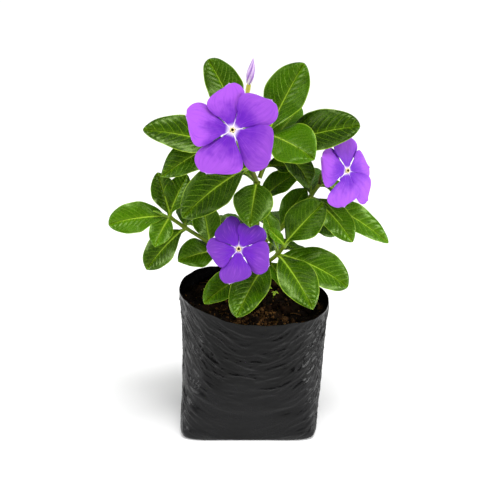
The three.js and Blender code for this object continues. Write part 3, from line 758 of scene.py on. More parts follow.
def leaf_colours(leaf, young, old, vein_colour, rib_colour):
    """The green of a blade with its veins, and the share of its surface that is vein."""
    place = leaf.split(leaf.fact("place", "Vector"))
    edge = leaf.fact("edge")
    tone = leaf.fact("tone")
    here = leaf.position()
    across = leaf.maths("ABSOLUTE", place["Y"])
    between = leaf.maths("ABSOLUTE", leaf.maths("SUBTRACT", leaf.maths("FRACT", place["X"]), 0.5))
    side_vein = leaf.step(between, 0.42, 0.495)
    fading = leaf.step(edge, 0.95, 0.55)
    side_vein = leaf.maths("MULTIPLY", side_vein, fading)
    rib_width = leaf.step(place["Z"], 1.0, 0.0, 0.28, 0.85)
    rib = leaf.step(leaf.maths("DIVIDE", across, rib_width), 1.0, 0.45)
    mottle = leaf.noise(here, 0.006, 4)
    fine = leaf.noise(here, 0.0007, 3)
    shade = leaf.maths("ADD", leaf.maths("MULTIPLY", tone, 0.75), leaf.maths("MULTIPLY", mottle, 0.5))
    blade = leaf.mix(leaf.step(shade, 0.2, 1.05), old, young)
    blade = leaf.mix(leaf.step(fine, 0.35, 0.75, 0.0, 0.12), blade, vein_colour)
    veined = leaf.mix(leaf.maths("MULTIPLY", side_vein, 0.6), blade, vein_colour)
    near_rib = leaf.step(across, 2.4, 0.4, 0.0, 0.22)
    veined = leaf.mix(near_rib, veined, vein_colour)
    ribbed = leaf.mix(leaf.maths("MULTIPLY", rib, 0.9), veined, rib_colour)
    margin = leaf.step(edge, 0.94, 0.995, 0.0, 0.55)
    return leaf.mix(margin, ribbed, rib_colour), side_vein, rib, fine


def leaf_top_finish():
    leaf = Finish("leaf_top")
    green, side_vein, rib, fine = leaf_colours(
        leaf, colour(66, 112, 0), colour(8, 32, 0), colour(118, 160, 12), colour(168, 200, 58))
    leaf.set(Base_Color=green, Roughness=leaf.step(fine, 0.3, 0.7, 0.22, 0.34))
    leaf.set(Specular_IOR_Level=0.4, Specular_Tint=(0.72, 1.0, 0.32, 1.0))
    leaf.set(Subsurface_Weight=0.08, Subsurface_Radius=(0.4, 0.8, 0.1), Subsurface_Scale=0.001)
    raised = leaf.maths("MULTIPLY", fine, 0.5)
    relief = leaf.maths("SUBTRACT", raised, leaf.maths("MULTIPLY", side_vein, 0.8))
    leaf.bump(leaf.maths("SUBTRACT", relief, rib), 0.00016, 0.7)
    return leaf.material


def leaf_back_finish():
    leaf = Finish("leaf_back")
    green, side_vein, rib, fine = leaf_colours(
        leaf, colour(94, 130, 26), colour(62, 96, 12), colour(122, 152, 52), colour(156, 180, 80))
    leaf.set(Base_Color=green, Roughness=0.58, Specular_IOR_Level=0.25)
    relief = leaf.maths("ADD", leaf.maths("MULTIPLY", fine, 0.4), side_vein)
    leaf.bump(leaf.maths("ADD", relief, rib), 0.00018, 0.7)
    return leaf.material


def stem_finish():
    stem = Finish("stem_skin")
    here = stem.position()
    place = stem.fact("place", "Vector")
    along = stem.split(place)["Z"]
    tone = stem.fact("tone")
    streak = stem.noise(stem.stretched(place, (0.12, 1.6, 0.0)), 1.0, 4, 0.65)
    patch = stem.noise(here, 0.005, 4)
    green = stem.mix(stem.step(streak, 0.3, 0.7), colour(74, 96, 0), colour(112, 134, 4))
    brown = stem.mix(stem.step(patch, 0.35, 0.7), colour(60, 52, 10), colour(92, 84, 18))
    low_down = stem.step(along, 0.7, 0.0, 0.0, 0.5)
    age = stem.maths("ADD", low_down, stem.maths("SUBTRACT", patch, tone))
    stem.set(Base_Color=stem.mix(stem.step(age, 0.0, 0.7), green, brown), Roughness=0.5)
    stem.set(Specular_IOR_Level=0.25)
    stem.bump(stem.maths("ADD", streak, patch), 0.00018, 0.6)
    return stem.material


def petal_finish(name, deep, dark, light, star_strength):
    """The violet of a petal: deep by the throat, lighter outwards, with its star and streaks, and
    painted light and shade from the lightness of each petal.
    """
    petal = Finish(name)
    vector = petal.fact("place", "Vector")
    place = petal.split(vector)
    edge = petal.fact("edge")
    tone = petal.fact("tone")
    streak = petal.noise(petal.stretched(vector, (0.25, 1.3, 0.0)), 1.0, 5, 0.65)
    cloud = petal.noise(petal.position(), 0.007, 3)
    # Painted light and shade: each petal's lightness mixes the shaded dark violet with the lit light
    # one
    outer = petal.mix(tone, dark, light)
    spread = petal.maths("MULTIPLY", petal.maths("SUBTRACT", cloud, 0.5), 0.9)
    violet = petal.mix(petal.step(petal.maths("ADD", place["Z"], spread), 0.12, 0.8), deep, outer)
    violet = petal.mix(petal.step(streak, 0.5, 0.75, 0.0, 0.45), violet, light)
    violet = petal.mix(petal.step(streak, 0.5, 0.25, 0.0, 0.45), violet, deep)
    shaded = petal.maths("MULTIPLY", petal.step(edge, 0.8, 1.0), petal.step(place["Z"], 0.6, 0.35))
    violet = petal.mix(petal.maths("MULTIPLY", shaded, 0.5), violet, deep)
    beside_slit = petal.step(edge, 0.72, 1.0, 0.0, 0.75)
    spiked = petal.maths("SUBTRACT", petal.maths("MULTIPLY", streak, 1.1), beside_slit)
    ragged = petal.maths("ADD", place["X"], spiked)
    star = petal.step(ragged, 1.75, 0.75, 0.0, star_strength)
    violet = petal.mix(star, violet, colour(246, 236, 250))
    mid_edge = petal.step(edge, 1.0, 0.3, 0.2, 0.7)
    tip = petal.maths("MULTIPLY", petal.step(place["Z"], 0.965, 1.0), mid_edge)
    petal.set(Base_Color=petal.mix(tip, violet, colour(226, 196, 244)), Roughness=0.6)
    petal.set(Specular_IOR_Level=0.25, Sheen_Weight=0.15, Sheen_Roughness=0.4)
    petal.set(Subsurface_Weight=0.15, Subsurface_Radius=(0.9, 0.5, 1.2), Subsurface_Scale=0.001)
    petal.bump(streak, 0.0003, 0.6)
    return petal.material


def tube_finish():
    tube = Finish("flower_tube")
    place = tube.split(tube.fact("place", "Vector"))
    fuzz = tube.noise(tube.position(), 0.0005, 4)
    skin = tube.mix(tube.step(place["Z"], 0.2, 0.75), colour(128, 142, 30), colour(184, 182, 62))
    ring = tube.mix(tube.step(place["Z"], 0.8, 0.9), skin, colour(226, 206, 150))
    # The inside of the mouth is painted dark brown: painted shade in the hollow
    painted_shade_hollow = tube.mix(tube.step(place["Z"], 1.01, 1.12), ring, colour(58, 34, 20))
    mottled = tube.mix(tube.step(fuzz, 0.4, 0.7, 0.0, 0.3), painted_shade_hollow, colour(120, 120, 48))
    tube.set(Base_Color=mottled, Roughness=0.6)
    tube.bump(fuzz, 0.0002, 0.6)
    return tube.material


def bud_finish():
    bud = Finish("furled_petals")
    place = bud.split(bud.fact("place", "Vector"))
    groove = bud.fact("edge")
    veil = bud.noise(bud.position(), 0.0012, 4)
    pale = bud.mix(bud.step(place["Z"], 0.0, 0.35), colour(228, 224, 204), colour(204, 176, 216))
    streaked = bud.mix(bud.step(groove, 0.3, 0.9, 0.0, 0.9), pale, colour(118, 56, 168))
    veiled = bud.mix(bud.step(veil, 0.45, 0.7, 0.0, 0.35), streaked, colour(178, 130, 206))
    bud.set(Base_Color=veiled, Roughness=0.5)
    bud.bump(veil, 0.00018, 0.5)
    return bud.material


def floor_finish():
    floor = Finish("pale_floor")
    speckle = floor.noise(floor.position(), 0.05, 3)
    pale = floor.mix(speckle, colour(246, 246, 246), colour(250, 250, 250))
    floor.set(Base_Color=pale, Roughness=0.85)
    return floor.material


# The bag

def fold_list():
    """The large folds, drawn one after another by the same rule as on the solid bag."""
    state = FOLD_SEED

    def draw():
        nonlocal state
        state = (state * DRAW_FACTOR + DRAW_STEP) % DRAW_RANGE
        return state / DRAW_RANGE

    folds = []
    for _ in range(FOLD_COUNT):
        angle = draw() * 2 * math.pi
        slant = FOLD_SIDE_SLANT * math.cos(angle) + FOLD_SLANT_SPREAD * (draw() - 0.5)
        height = LOWEST_FOLD + FOLD_HEIGHT_SPAN * draw()
        folds.append((angle, height, slant, FOLD_DEPTH * (0.5 + 0.5 * draw())))
    return folds


def crease_list():
    """The angle, height share, slant, depth and length of each sharp crease.

    The depth is below zero, because these creases stand out of the film.
    """
    draws = np.random.default_rng(CREASE_SEED)
    creases = []
    while len(creases) < SHARP_CREASES:
        angle = draws.uniform(0, 2 * math.pi)
        height = draws.uniform(0.02, 0.99)
        keeps = crease_strength(angle, height) > draws.uniform(0, 1)
        slant = CREASE_SIDE_SLANT * math.cos(angle) + draws.normal(0, CREASE_SLANT_SPREAD)
        flank = abs(math.cos(angle))
        depth = -CREASE_DEPTH * draws.uniform(0.4, 1) * max(MIDDLE_CREASING, flank)
        length = CREASE_LENGTH * draws.uniform(0.4, 1.9)
        if keeps:
            creases.append((angle, height, slant, depth, length))
    return creases


def crease_strength(angle, share):
    """How creased the film is: all over at the sides, but in front and behind only higher up."""
    flank = abs(np.cos(angle)) ** 1.4
    middle = 0.1 + 0.9 * ease(0.25, 0.6, share) * (1 - 0.4 * ease(0.88, 0.97, share))
    return flank + (1 - flank) * middle


def ripples(angles, shares):
    """Ridges along curves that hang low in the middle of the front and stand high behind."""
    angles, shares = np.broadcast_arrays(angles, shares)
    around = BAG_RIM_RADIUS * np.stack([np.cos(angles), np.sin(angles)], axis=-1)
    heights = shares * BAG_HEIGHT
    spots = np.concatenate([around, heights[..., None]], axis=-1)
    level = heights - RIPPLE_SAG * BAG_RIM_RADIUS * np.sin(angles)
    level = level + RIPPLE_WANDER * noise_at(spots, 13.0, 4.2)
    patches = 0.75 + 0.5 * noise_at(spots, 9.0, 11.7)
    flank = np.abs(np.cos(angles))
    total = np.zeros(angles.shape)
    for number, (length, width, height, in_middle) in enumerate(RIPPLES):
        warped = np.concatenate([around / length, (level / width)[..., None]], axis=-1)
        ridge = 1 - np.abs(noise_at(warped, 1.0, 3.7 * number)) * RIPPLE_SHARPNESS
        strength = in_middle + (1 - in_middle) * flank
        total = total + height * strength * np.clip(ridge, 0, 1) ** 2
    return (total - RIPPLE_MEAN) * patches * crease_strength(angles, shares)


def film_inset(angles, shares):
    """How far the film is drawn in, at arrays of angles and height shares."""
    def offsets(angle, height, slant):
        turned = np.arctan2(np.sin(angles - angle), np.cos(angles - angle))
        across = turned * BAG_RIM_RADIUS
        up = (shares - height) * BAG_HEIGHT
        along = across * math.cos(slant) + up * math.sin(slant)
        return along, up * math.cos(slant) - across * math.sin(slant)

    inset = -ripples(angles, shares)
    for angle, height, slant, depth in fold_list():
        along, off = offsets(angle, height, slant)
        fold = np.exp(-(off / FOLD_WIDTH) ** 2 - (along / FOLD_LENGTH) ** 2)
        inset = inset + FOLD_DEPTH_KEPT * depth * fold
    for angle, height, slant, depth, length in crease_list():
        along, off = offsets(angle, height, slant)
        off = off + CREASE_BOW * math.sin(height * 40 + angle * 9) * along ** 2
        inset = inset + depth * np.exp(-np.abs(off) / CREASE_WIDTH - (along / length) ** 2)
    level = np.exp(-((shares * BAG_HEIGHT - EAR_HEIGHT) / EAR_SPREAD) ** 2)
    corner = np.abs(np.sin(2 * angles)) ** 6 * level
    calm = 1 - RIM_CALM * ease(0.94, 1.0, shares)
    inset = RELIEF_LIMIT * np.tanh(inset / RELIEF_LIMIT)
    return inset * calm * ease(0.0, 0.06, shares) - EAR_DEPTH * corner


def bag_reach(angles, shares, inset):
    """The film's points at angles and height shares: a rounded rectangle below, a circle above."""
    half_width = BAG_FOOT_HALF_WIDTH + (BAG_RIM_RADIUS - BAG_FOOT_HALF_WIDTH) * shares ** 2
    half_depth = BAG_FOOT_HALF_DEPTH + (BAG_RIM_HALF_DEPTH - BAG_FOOT_HALF_DEPTH) * shares
    squareness = 2 + (BAG_FOOT_SQUARENESS - 2) * (1 - shares) ** 3
    cosine = np.abs(np.cos(angles)) / (half_width - inset)
    sine = np.abs(np.sin(angles)) / (half_depth - inset)
    reach = (cosine ** squareness + sine ** squareness) ** (-1 / squareness)
    shift = BAG_RIM_SHIFT * np.sin(shares * math.pi / 2)
    return shift + reach * np.cos(angles), reach * np.sin(angles)


def rim_height(angles):
    ripple = RIM_RIPPLE * np.sin(RIM_RIPPLE_COUNT * angles + 1)
    gentle = BAG_HEIGHT - BAG_RIM_TILT * np.cos(angles) + ripple
    return gentle + 0.22 * np.sin(11 * angles + 0.4) + 0.14 * np.sin(23 * angles)


def bag_points(angles, shares, inset):
    x, y = bag_reach(angles, shares, inset)
    return np.stack([x, y, shares * rim_height(angles)], axis=-1)


def make_bag(film):
    angles = circle_angles(FILM_SIDES)
    rings = []
    for turn in np.linspace(0, 1, 7)[:-1]:
        height = BAG_FOOT_ROUNDING * (1 - math.cos(turn * math.pi / 2))
        inset = BAG_FOOT_ROUNDING * (1 - math.sin(turn * math.pi / 2))
        x, y = bag_reach(angles, np.full(FILM_SIDES, height / BAG_HEIGHT), inset)
        rings.append(np.stack([x, y, np.full(FILM_SIDES, height)], axis=-1))
    first = BAG_FOOT_ROUNDING / BAG_HEIGHT
    shares = np.linspace(first, 1, FILM_ROWS)[:, None]
    inset = film_inset(angles[None, :], shares)
    outside = bag_points(angles[None, :], shares, inset)
    inner_shares = np.linspace(1, FILM_FLOOR / BAG_HEIGHT, FILM_INNER_ROWS)[:, None]
    inner_inset = film_inset(angles[None, :], inner_shares) + FILM_THICKNESS
    inner_inset = inner_inset + BAG_FOOT_ROUNDING * ease(0.06, 0.01, inner_shares)
    inside = bag_points(angles[None, :], inner_shares, inner_inset)
    grid = np.concatenate([np.array(rings), outside, inside])
    surfaces = Surfaces()
    add_rings(surfaces, grid, (0, 0, 0), (0, 0, FILM_FLOOR))
    piece = surfaces.make("film_bag", [film])
    place_piece(piece, "film", "grow_bag")


# The soil

def soil_top(x, y):
    """The height of the soil's surface, without its crumbs."""
    lumps = np.sin(0.33 * x + 1.1) * np.cos(0.29 * y - 0.4) + 0.6 * np.sin(0.61 * x - 0.47 * y)
    tilt = BAG_RIM_TILT * (x - BAG_RIM_SHIFT) / BAG_RIM_RADIUS
    flat = np.stack([x, y, np.zeros_like(x)], axis=-1)
    rough = sum(height * noise_at(flat, width, seed) for height, width, seed in SOIL_GRAINS)
    return BAG_HEIGHT - SOIL_BELOW_RIM - tilt + SOIL_LUMP * lumps + rough


def soil_edge(angles, share):
    """The ring where the soil meets the film, at one height share."""
    shares = np.full(len(angles), share)
    inset = film_inset(angles, shares) + FILM_THICKNESS + SOIL_FILM_GAP
    return bag_reach(angles, shares, inset)


def make_soil(soil):
    angles = circle_angles(SOIL_SIDES)
    rings = []
    for share in SOIL_WALL_SHARES:
        x, y = soil_edge(angles, share)
        shrink = 0.97 - 0.1 * ease(0.1, 0.03, share)
        rings.append(np.stack([x * shrink, y * shrink, share * rim_height(angles)], axis=-1))
    edge_x, edge_y = soil_edge(angles, 1 - SOIL_BELOW_RIM / BAG_HEIGHT)
    for ring in range(SOIL_RINGS):
        spread = (1 - ring / SOIL_RINGS) ** 0.8
        x = BAG_RIM_SHIFT + (edge_x - BAG_RIM_SHIFT) * spread
        y = edge_y * spread
        rings.append(np.stack([x, y, soil_top(x, y)], axis=-1))
    middle = soil_top(np.array([BAG_RIM_SHIFT]), np.array([0.0]))[0]
    surfaces = Surfaces()
    bottom = SOIL_WALL_SHARES[0] * BAG_HEIGHT
    add_rings(surfaces, np.array(rings), (0, 0, bottom), (BAG_RIM_SHIFT, 0, middle), tone=0.45)
    piece = surfaces.make("potting_mix", [soil], sharp_angle=80)
    place_piece(piece, "soil", "soil")


def icosphere(divisions):
    shape = bmesh.new()
    bmesh.ops.create_icosphere(shape, subdivisions=divisions, radius=1)
    points = np.array([list(vertex.co) for vertex in shape.verts])
    faces = [[vertex.index for vertex in face.verts] for face in shape.faces]
    shape.free()
    return points, faces


def on_soil(x, y):
    """The point of the soil's surface over a place."""
    return x, y, float(soil_top(np.array([x]), np.array([y]))[0])


def soil_spot(draws, widest):
    """A random place on the soil, no further out than a share of its radius."""
    angle = draws.uniform(0, 2 * math.pi)
    share = math.sqrt(draws.uniform(0, 1)) * widest
    x = BAG_RIM_SHIFT + (BAG_RIM_RADIUS - CRUMB_MARGIN) * share * math.cos(angle)
    y = (BAG_RIM_HALF_DEPTH - CRUMB_MARGIN) * share * math.sin(angle)
    return on_soil(x, y)


def add_crumb(surfaces, draws, shape, spot, size, tone):
    points, faces = shape
    stretch = draws.uniform(0.6, 1.2, 3)
    lumpy = 1 + 0.28 * noise_at(points, 0.6, draws.uniform(0, 50)) + draws.normal(0, 0.06, len(points))
    middle = np.array(spot) + (0, 0, 0.25 * size)
    surfaces.add(points * lumpy[:, None] * stretch * size + middle, faces, tone=tone)


def make_crumbs(soil):
    """Crumbs, larger lumps, a pale clump and short fibres that lie on the soil."""
    draws = np.random.default_rng(CRUMB_SEED)
    surfaces = Surfaces()
    small = icosphere(1)
    large = icosphere(2)
    for _ in range(CRUMB_COUNT):
        spot = soil_spot(draws, 0.98)
        add_crumb(surfaces, draws, small, spot, draws.uniform(0.3, 1.0), draws.uniform(0, 1) ** 1.6)
    for _ in range(LUMP_COUNT):
        spot = soil_spot(draws, 0.95)
        add_crumb(surfaces, draws, large, spot, draws.uniform(1.2, 2.3), draws.uniform(0, 0.75))
    for _ in range(CLUMP_CRUMBS):
        spot = on_soil(*draws.normal(CLUMP_CENTRE, CLUMP_REACH))
        add_crumb(surfaces, draws, small, spot, draws.uniform(0.3, 1.1), draws.uniform(0.6, 1))
    for _ in range(FIBRE_COUNT):
        x, y, z = soil_spot(draws, 0.9)
        way = draws.uniform(0, 2 * math.pi)
        span = draws.uniform(1.5, 4.5)
        lift = draws.uniform(0.3, 1.2)
        points = [
            (x - span * math.cos(way), y - span * math.sin(way), z + 0.2),
            (x + draws.normal(0, 0.8), y + draws.normal(0, 0.8), z + lift),
            (x + span * math.cos(way), y + span * math.sin(way), z + 0.3),
        ]
        path = smooth_path(points, 0.8)
        radii = np.full(len(path), draws.uniform(0.12, 0.26))
        add_tube(surfaces, path, radii, 6, tone=draws.uniform(0.5, 1))
    piece = surfaces.make("soil_crumbs", [soil], sharp_angle=80)
    place_piece(piece, "soil", "soil")


def make_seedlings(leaf_top, leaf_back, stem):
    """Tiny weeds: a thread of a stem each, with two pairs of narrow leaves."""
    draws = np.random.default_rng(SEEDLING_SEED)
    surfaces = Surfaces()
    for foot, height, lean in SEEDLINGS:
        way = math.radians(lean)
        out = np.array([math.cos(way), math.sin(way), 0])
        root = np.array(on_soil(*foot)) - (0, 0, 0.8)
        top = root + 0.35 * height * out + (0, 0, height)
        path = smooth_path([root, root + 0.1 * height * out + (0, 0, 0.6 * height), top], 0.6)
        add_tube(surfaces, path, np.full(len(path), 0.22), 8, finishes=2, tone=0.9)
        for number in range(4):
            turn = lean + 90 * number + draws.uniform(-15, 15)
            size = SEEDLING_LEAF * (1.1 if number % 2 else 0.8)
            leaf = (0, turn, 30, -30, size, size * 0.5, 0)
            add_blade(surfaces, leaf, top - (0, 0, 0.4 * (number % 2)))
    piece = surfaces.make("weed_seedlings", [leaf_top, leaf_back, stem])
    place_piece(piece, "leaf", "soil")


def add_blade(surfaces, leaf, node):
    """A thin little leaf, slightly cupped and with a narrow tip, for the seedlings."""
    azimuth, rise, droop, length, width = leaf[1:6]
    way = math.radians(azimuth)
    share = np.linspace(0, 1, SMALL_SHEET_ROWS)[:, None]
    side = np.linspace(-1, 1, SMALL_SHEET_COLUMNS)[None, :]
    lift = math.radians(rise) + math.radians(droop) * share
    out = length * share * np.cos(lift)
    half = 0.5 * width * np.sin(math.pi * (0.06 + 0.9 * share)) ** 0.8
    height = length * share * np.sin(lift) + 0.12 * side ** 2 * width
    middle = swung(out, side * half, height, way) + np.array(node)
    facing = SEEDLING_LEAF_THICKNESS / 2 * sheet_normals(middle)
    add_sheet(surfaces, middle + facing, middle - facing, edges=0.5, tone=0.9)


# The leaves

def blade_half_width(leaf, share):
    tip = leaf[7] if len(leaf) > 7 else BLUNT_TIP
    beyond = np.maximum(0, (share - PETIOLE_SHARE) / (1 - PETIOLE_SHARE))
    rising = np.sin(math.pi / 2 * np.minimum(1, beyond / WIDEST_SHARE)) ** BASE_TAPER
    past = np.maximum(0, beyond - WIDEST_SHARE) / (1 - WIDEST_SHARE)
    falling = np.maximum(0, 1 - past ** 2) ** tip
    return np.maximum(leaf[5] / 2 * rising * falling, PETIOLE_HALF_WIDTH * (1 - 0.55 * share))


def add_leaf(surfaces, leaf, node, draws):
    """A blade on its stalk, puckered between its veins, with a groove above its midrib."""
    azimuth, rise, droop, length, width, roll = leaf[1:7]
    sections = round(12 + length * 0.9)
    strips = 2 * round(6 + width * 0.3)
    share = 1 - (1 - np.linspace(0, 1, sections + 1)) ** TIP_CROWDING
    steps = np.linspace(-1, 1, strips + 1)
    side = (np.sign(steps) * np.abs(steps) ** RIB_CROWDING)[None, :]
    bend = math.radians(droop or 0.5)
    first = math.radians(rise) - bend / 2
    arc = length * (bend / 2) / math.sin(bend / 2)
    way = math.radians(azimuth)
    outwards = np.array([math.cos(way), math.sin(way), 0])
    upwards = np.array([0, 0, 1])
    angle = first + bend * share
    out = arc / bend * (np.sin(angle) - math.sin(first))
    high = arc / bend * (math.cos(first) - np.cos(angle))
    root = np.array(node) - ROOT_DEPTH * outwards
    middle = root + np.outer(out, outwards) + np.outer(high, upwards)
    along = np.outer(np.cos(angle), outwards) + np.outer(np.sin(angle), upwards)
    across = np.array([-math.sin(way), math.cos(way), 0])
    across = turned_about(across, along, math.radians(roll) * np.minimum(1, share * 2))
    normal = np.cross(along, across)

    half = blade_half_width(leaf, share)[:, None]
    rows = share[:, None]
    x = side * half
    fold = math.radians(BLADE_FOLD)
    calm = np.minimum(1, half / STIFF_HALF_WIDTH)
    lifted = half * math.sin(fold) * (np.sqrt(side ** 2 + 0.006) - 0.077)
    bulge = 4 * BLADE_BULGE * width * np.abs(side) * (1 - np.abs(side)) * rows
    wave = BLADE_WAVE * side ** 2 * np.sin(BLADE_WAVE_TURN * rows + azimuth + 2 * np.sign(side))
    turn = EDGE_RIPPLE_TURN * rows + draws.uniform(0, 6) + 1.5 * np.sign(side)
    ripple = EDGE_RIPPLE * side ** 4 * np.sin(turn)
    spacing = max(VEIN_SPACING, length / VEIN_PAIRS)
    veins = (rows * arc - VEIN_LEAN * np.abs(x) - VEIN_CURVE * x ** 2) / spacing
    veins = veins + VEIN_STAGGER * np.tanh(x / 0.5) + draws.uniform(0, 1)
    pillow = np.abs(np.sin(math.pi * veins)) ** 0.7
    inner = np.sin(math.pi * np.clip(np.abs(side), 0, 1) ** 0.75) ** 0.7
    quilt = QUILT_HEIGHT * (pillow - QUILT_LEVEL) * inner * np.minimum(1, half / QUILT_HALF_WIDTH)
    groove = RIB_GROOVE * np.exp(-(x / RIB_WIDTH) ** 2) * (1 - 0.6 * rows) * calm
    height = lifted + calm * (bulge + wave + ripple) + quilt - groove
    aside = x * math.cos(fold)
    top = middle[:, None] + across[:, None] * aside[..., None] + normal[:, None] * height[..., None]

    stalk = ease(2.6 * PETIOLE_SHARE, 0.8 * PETIOLE_SHARE, rows)
    edge_taper = 1 - 0.6 * np.abs(side) ** 6
    depth = BLADE_THICKNESS * edge_taper
    depth = depth + RIB_DEPTH * np.exp(-(x / (RIB_WIDTH * 1.1)) ** 2) * (1 - 0.8 * rows)
    depth = depth * (1 - stalk) + PETIOLE_THICKNESS * np.sqrt(np.maximum(0.02, 1 - side ** 2)) * stalk
    facing = sheet_normals(top)
    upper = top + facing * 0.5 * BLADE_THICKNESS * edge_taper[..., None]
    lower = upper - facing * depth[..., None]
    young = YOUNG_LEAF_TONE if length < YOUNG_LEAF else 0
    tone = float(np.clip(0.5 + draws.normal(0, TONE_SPREAD) + young, 0, 1))
    add_sheet(surfaces, upper, lower, places=(veins, x, rows), edges=np.abs(side), tone=tone)


# The stems

def stem_radii(path, radius, nodes, taper=1.0):
    """A stem's radius along its path, swollen at its leaf nodes."""
    shares = np.linspace(0, 1, len(path))
    radii = radius * (1 + (taper - 1) * shares)
    for node in nodes:
        away = np.linalg.norm(path - np.array(node), axis=1)
        radii = radii + NODE_SWELLING * radius * np.exp(-(away / NODE_REACH) ** 2)
    return radii


def add_stem(surfaces, shoot):
    thin_from = shoot.get("thin_from", len(shoot["path"]) - 1)
    stretches = [(shoot["path"][:thin_from + 1], shoot["radius"])]
    if "thin_from" in shoot:
        stretches.append((shoot["path"][thin_from:], shoot["thin_radius"]))
    for points, radius in stretches:
        path = smooth_path(points, 1.0)
        radii = stem_radii(path, radius, points[1:], STEM_TAPER)
        ribbed = 1 + STEM_RIB_HEIGHT * np.sin(STEM_RIBS * circle_angles(STEM_SIDES))[None, :]
        add_tube(surfaces, path, radii[:, None] * ribbed, STEM_SIDES, finishes=2, tone=radius / 2)


def add_calyx(surfaces, foot, along):
    """A small cup with narrow pointed sepals round the foot of a flower's tube."""
    sideways = unit(np.cross(along, (0.2, 0.3, 0.9)))
    upper = np.cross(along, sideways)
    profile = [(-2.6, 0.8), (-1.8, 1.1), (-1.0, CALYX_RADIUS), (0.0, CALYX_RADIUS), (0.6, 1.35)]
    path = np.array([foot + along * height for height, _ in profile])
    add_tube(surfaces, path, [radius for _, radius in profile], 14, finishes=2, tone=0.2)
    for number in range(SEPAL_COUNT):
        angle = number / SEPAL_COUNT * 2 * math.pi
        out = math.cos(angle) * sideways + math.sin(angle) * upper
        aside = np.cross(along, out)
        share = np.linspace(0, 1, SMALL_SHEET_ROWS)[:, None]
        side = np.linspace(-1, 1, SMALL_SHEET_COLUMNS)[None, :]
        half = 0.75 * (1 - share) ** 0.7 * (0.8 + 0.5 * share) + 0.06
        reach = CALYX_RADIUS - 0.1 + 0.75 * share ** 1.5 - 0.25 * side ** 2
        height = -0.4 + (SEPAL_LENGTH + 0.4) * share
        middle = foot + out * reach[..., None] + aside * (side * half)[..., None]
        middle = middle + along * (height + 0 * side)[..., None]
        facing = SEPAL_THICKNESS / 2 * sheet_normals(middle)
        add_sheet(surfaces, middle + facing, middle - facing, finish=2, tone=0.1)


def add_stalk(surfaces, start, foot, along):
    """A flower's stalk, from its leafy stem to the calyx."""
    start = np.array(start, float)
    end = foot - 1.2 * along
    bend = end - along * np.linalg.norm(start - end) * 0.4
    path = smooth_path([start, bend, end], 0.8)
    add_tube(surfaces, path, stem_radii(path, STALK_RADIUS, [start], 0.95), 12, finishes=2, tone=0.3)
    add_calyx(surfaces, foot, along)


def flower_axes(flower):
    way = math.radians(flower["azimuth"])
    lift = math.radians(flower["lift"])
    level = math.cos(lift)
    facing = np.array([math.cos(way) * level, math.sin(way) * level, math.sin(lift)])
    right = unit(np.cross((0, 0, 1), facing))
    return right, np.cross(facing, right), facing


def bud_axis():
    return unit(np.array(BUD["tip"], float) - np.array(BUD["root"], float))


def make_shoot(shoot, seed, leaf_top, leaf_back, stem):
    draws = np.random.default_rng(seed)
    surfaces = Surfaces()
    add_stem(surfaces, shoot)
    for leaf in shoot["leaves"]:
        add_leaf(surfaces, leaf, shoot["path"][leaf[0]], draws)
    for flower in FLOWERS:
        if flower["shoot"] == shoot["name"]:
            facing = flower_axes(flower)[2]
            foot = np.array(flower["centre"]) - facing * flower["tube"]
            add_stalk(surfaces, flower["stalk_from"], foot, facing)
    if BUD["shoot"] == shoot["name"]:
        add_stalk(surfaces, BUD["stalk_from"], np.array(BUD["root"]), bud_axis())
    piece = surfaces.make(shoot["name"] + "_foliage", [leaf_top, leaf_back, stem])
    place_piece(piece, "leaf", shoot["name"])


# The flowers

def in_flower(points, flower):
    """Points on a flower that looks along +Z, turned to look its own way."""
    return turned_to(points, flower_axes(flower), flower["centre"])


def petal_gaps(flower):
    """The angles from each petal to the one before it and to the one after it."""
    angles = [petal[0] for petal in flower["petals"]]
    before = [(angles[index - 1] - angle) % 360 for index, angle in enumerate(angles)]
    return list(zip(before, before[1:] + before[:1]))


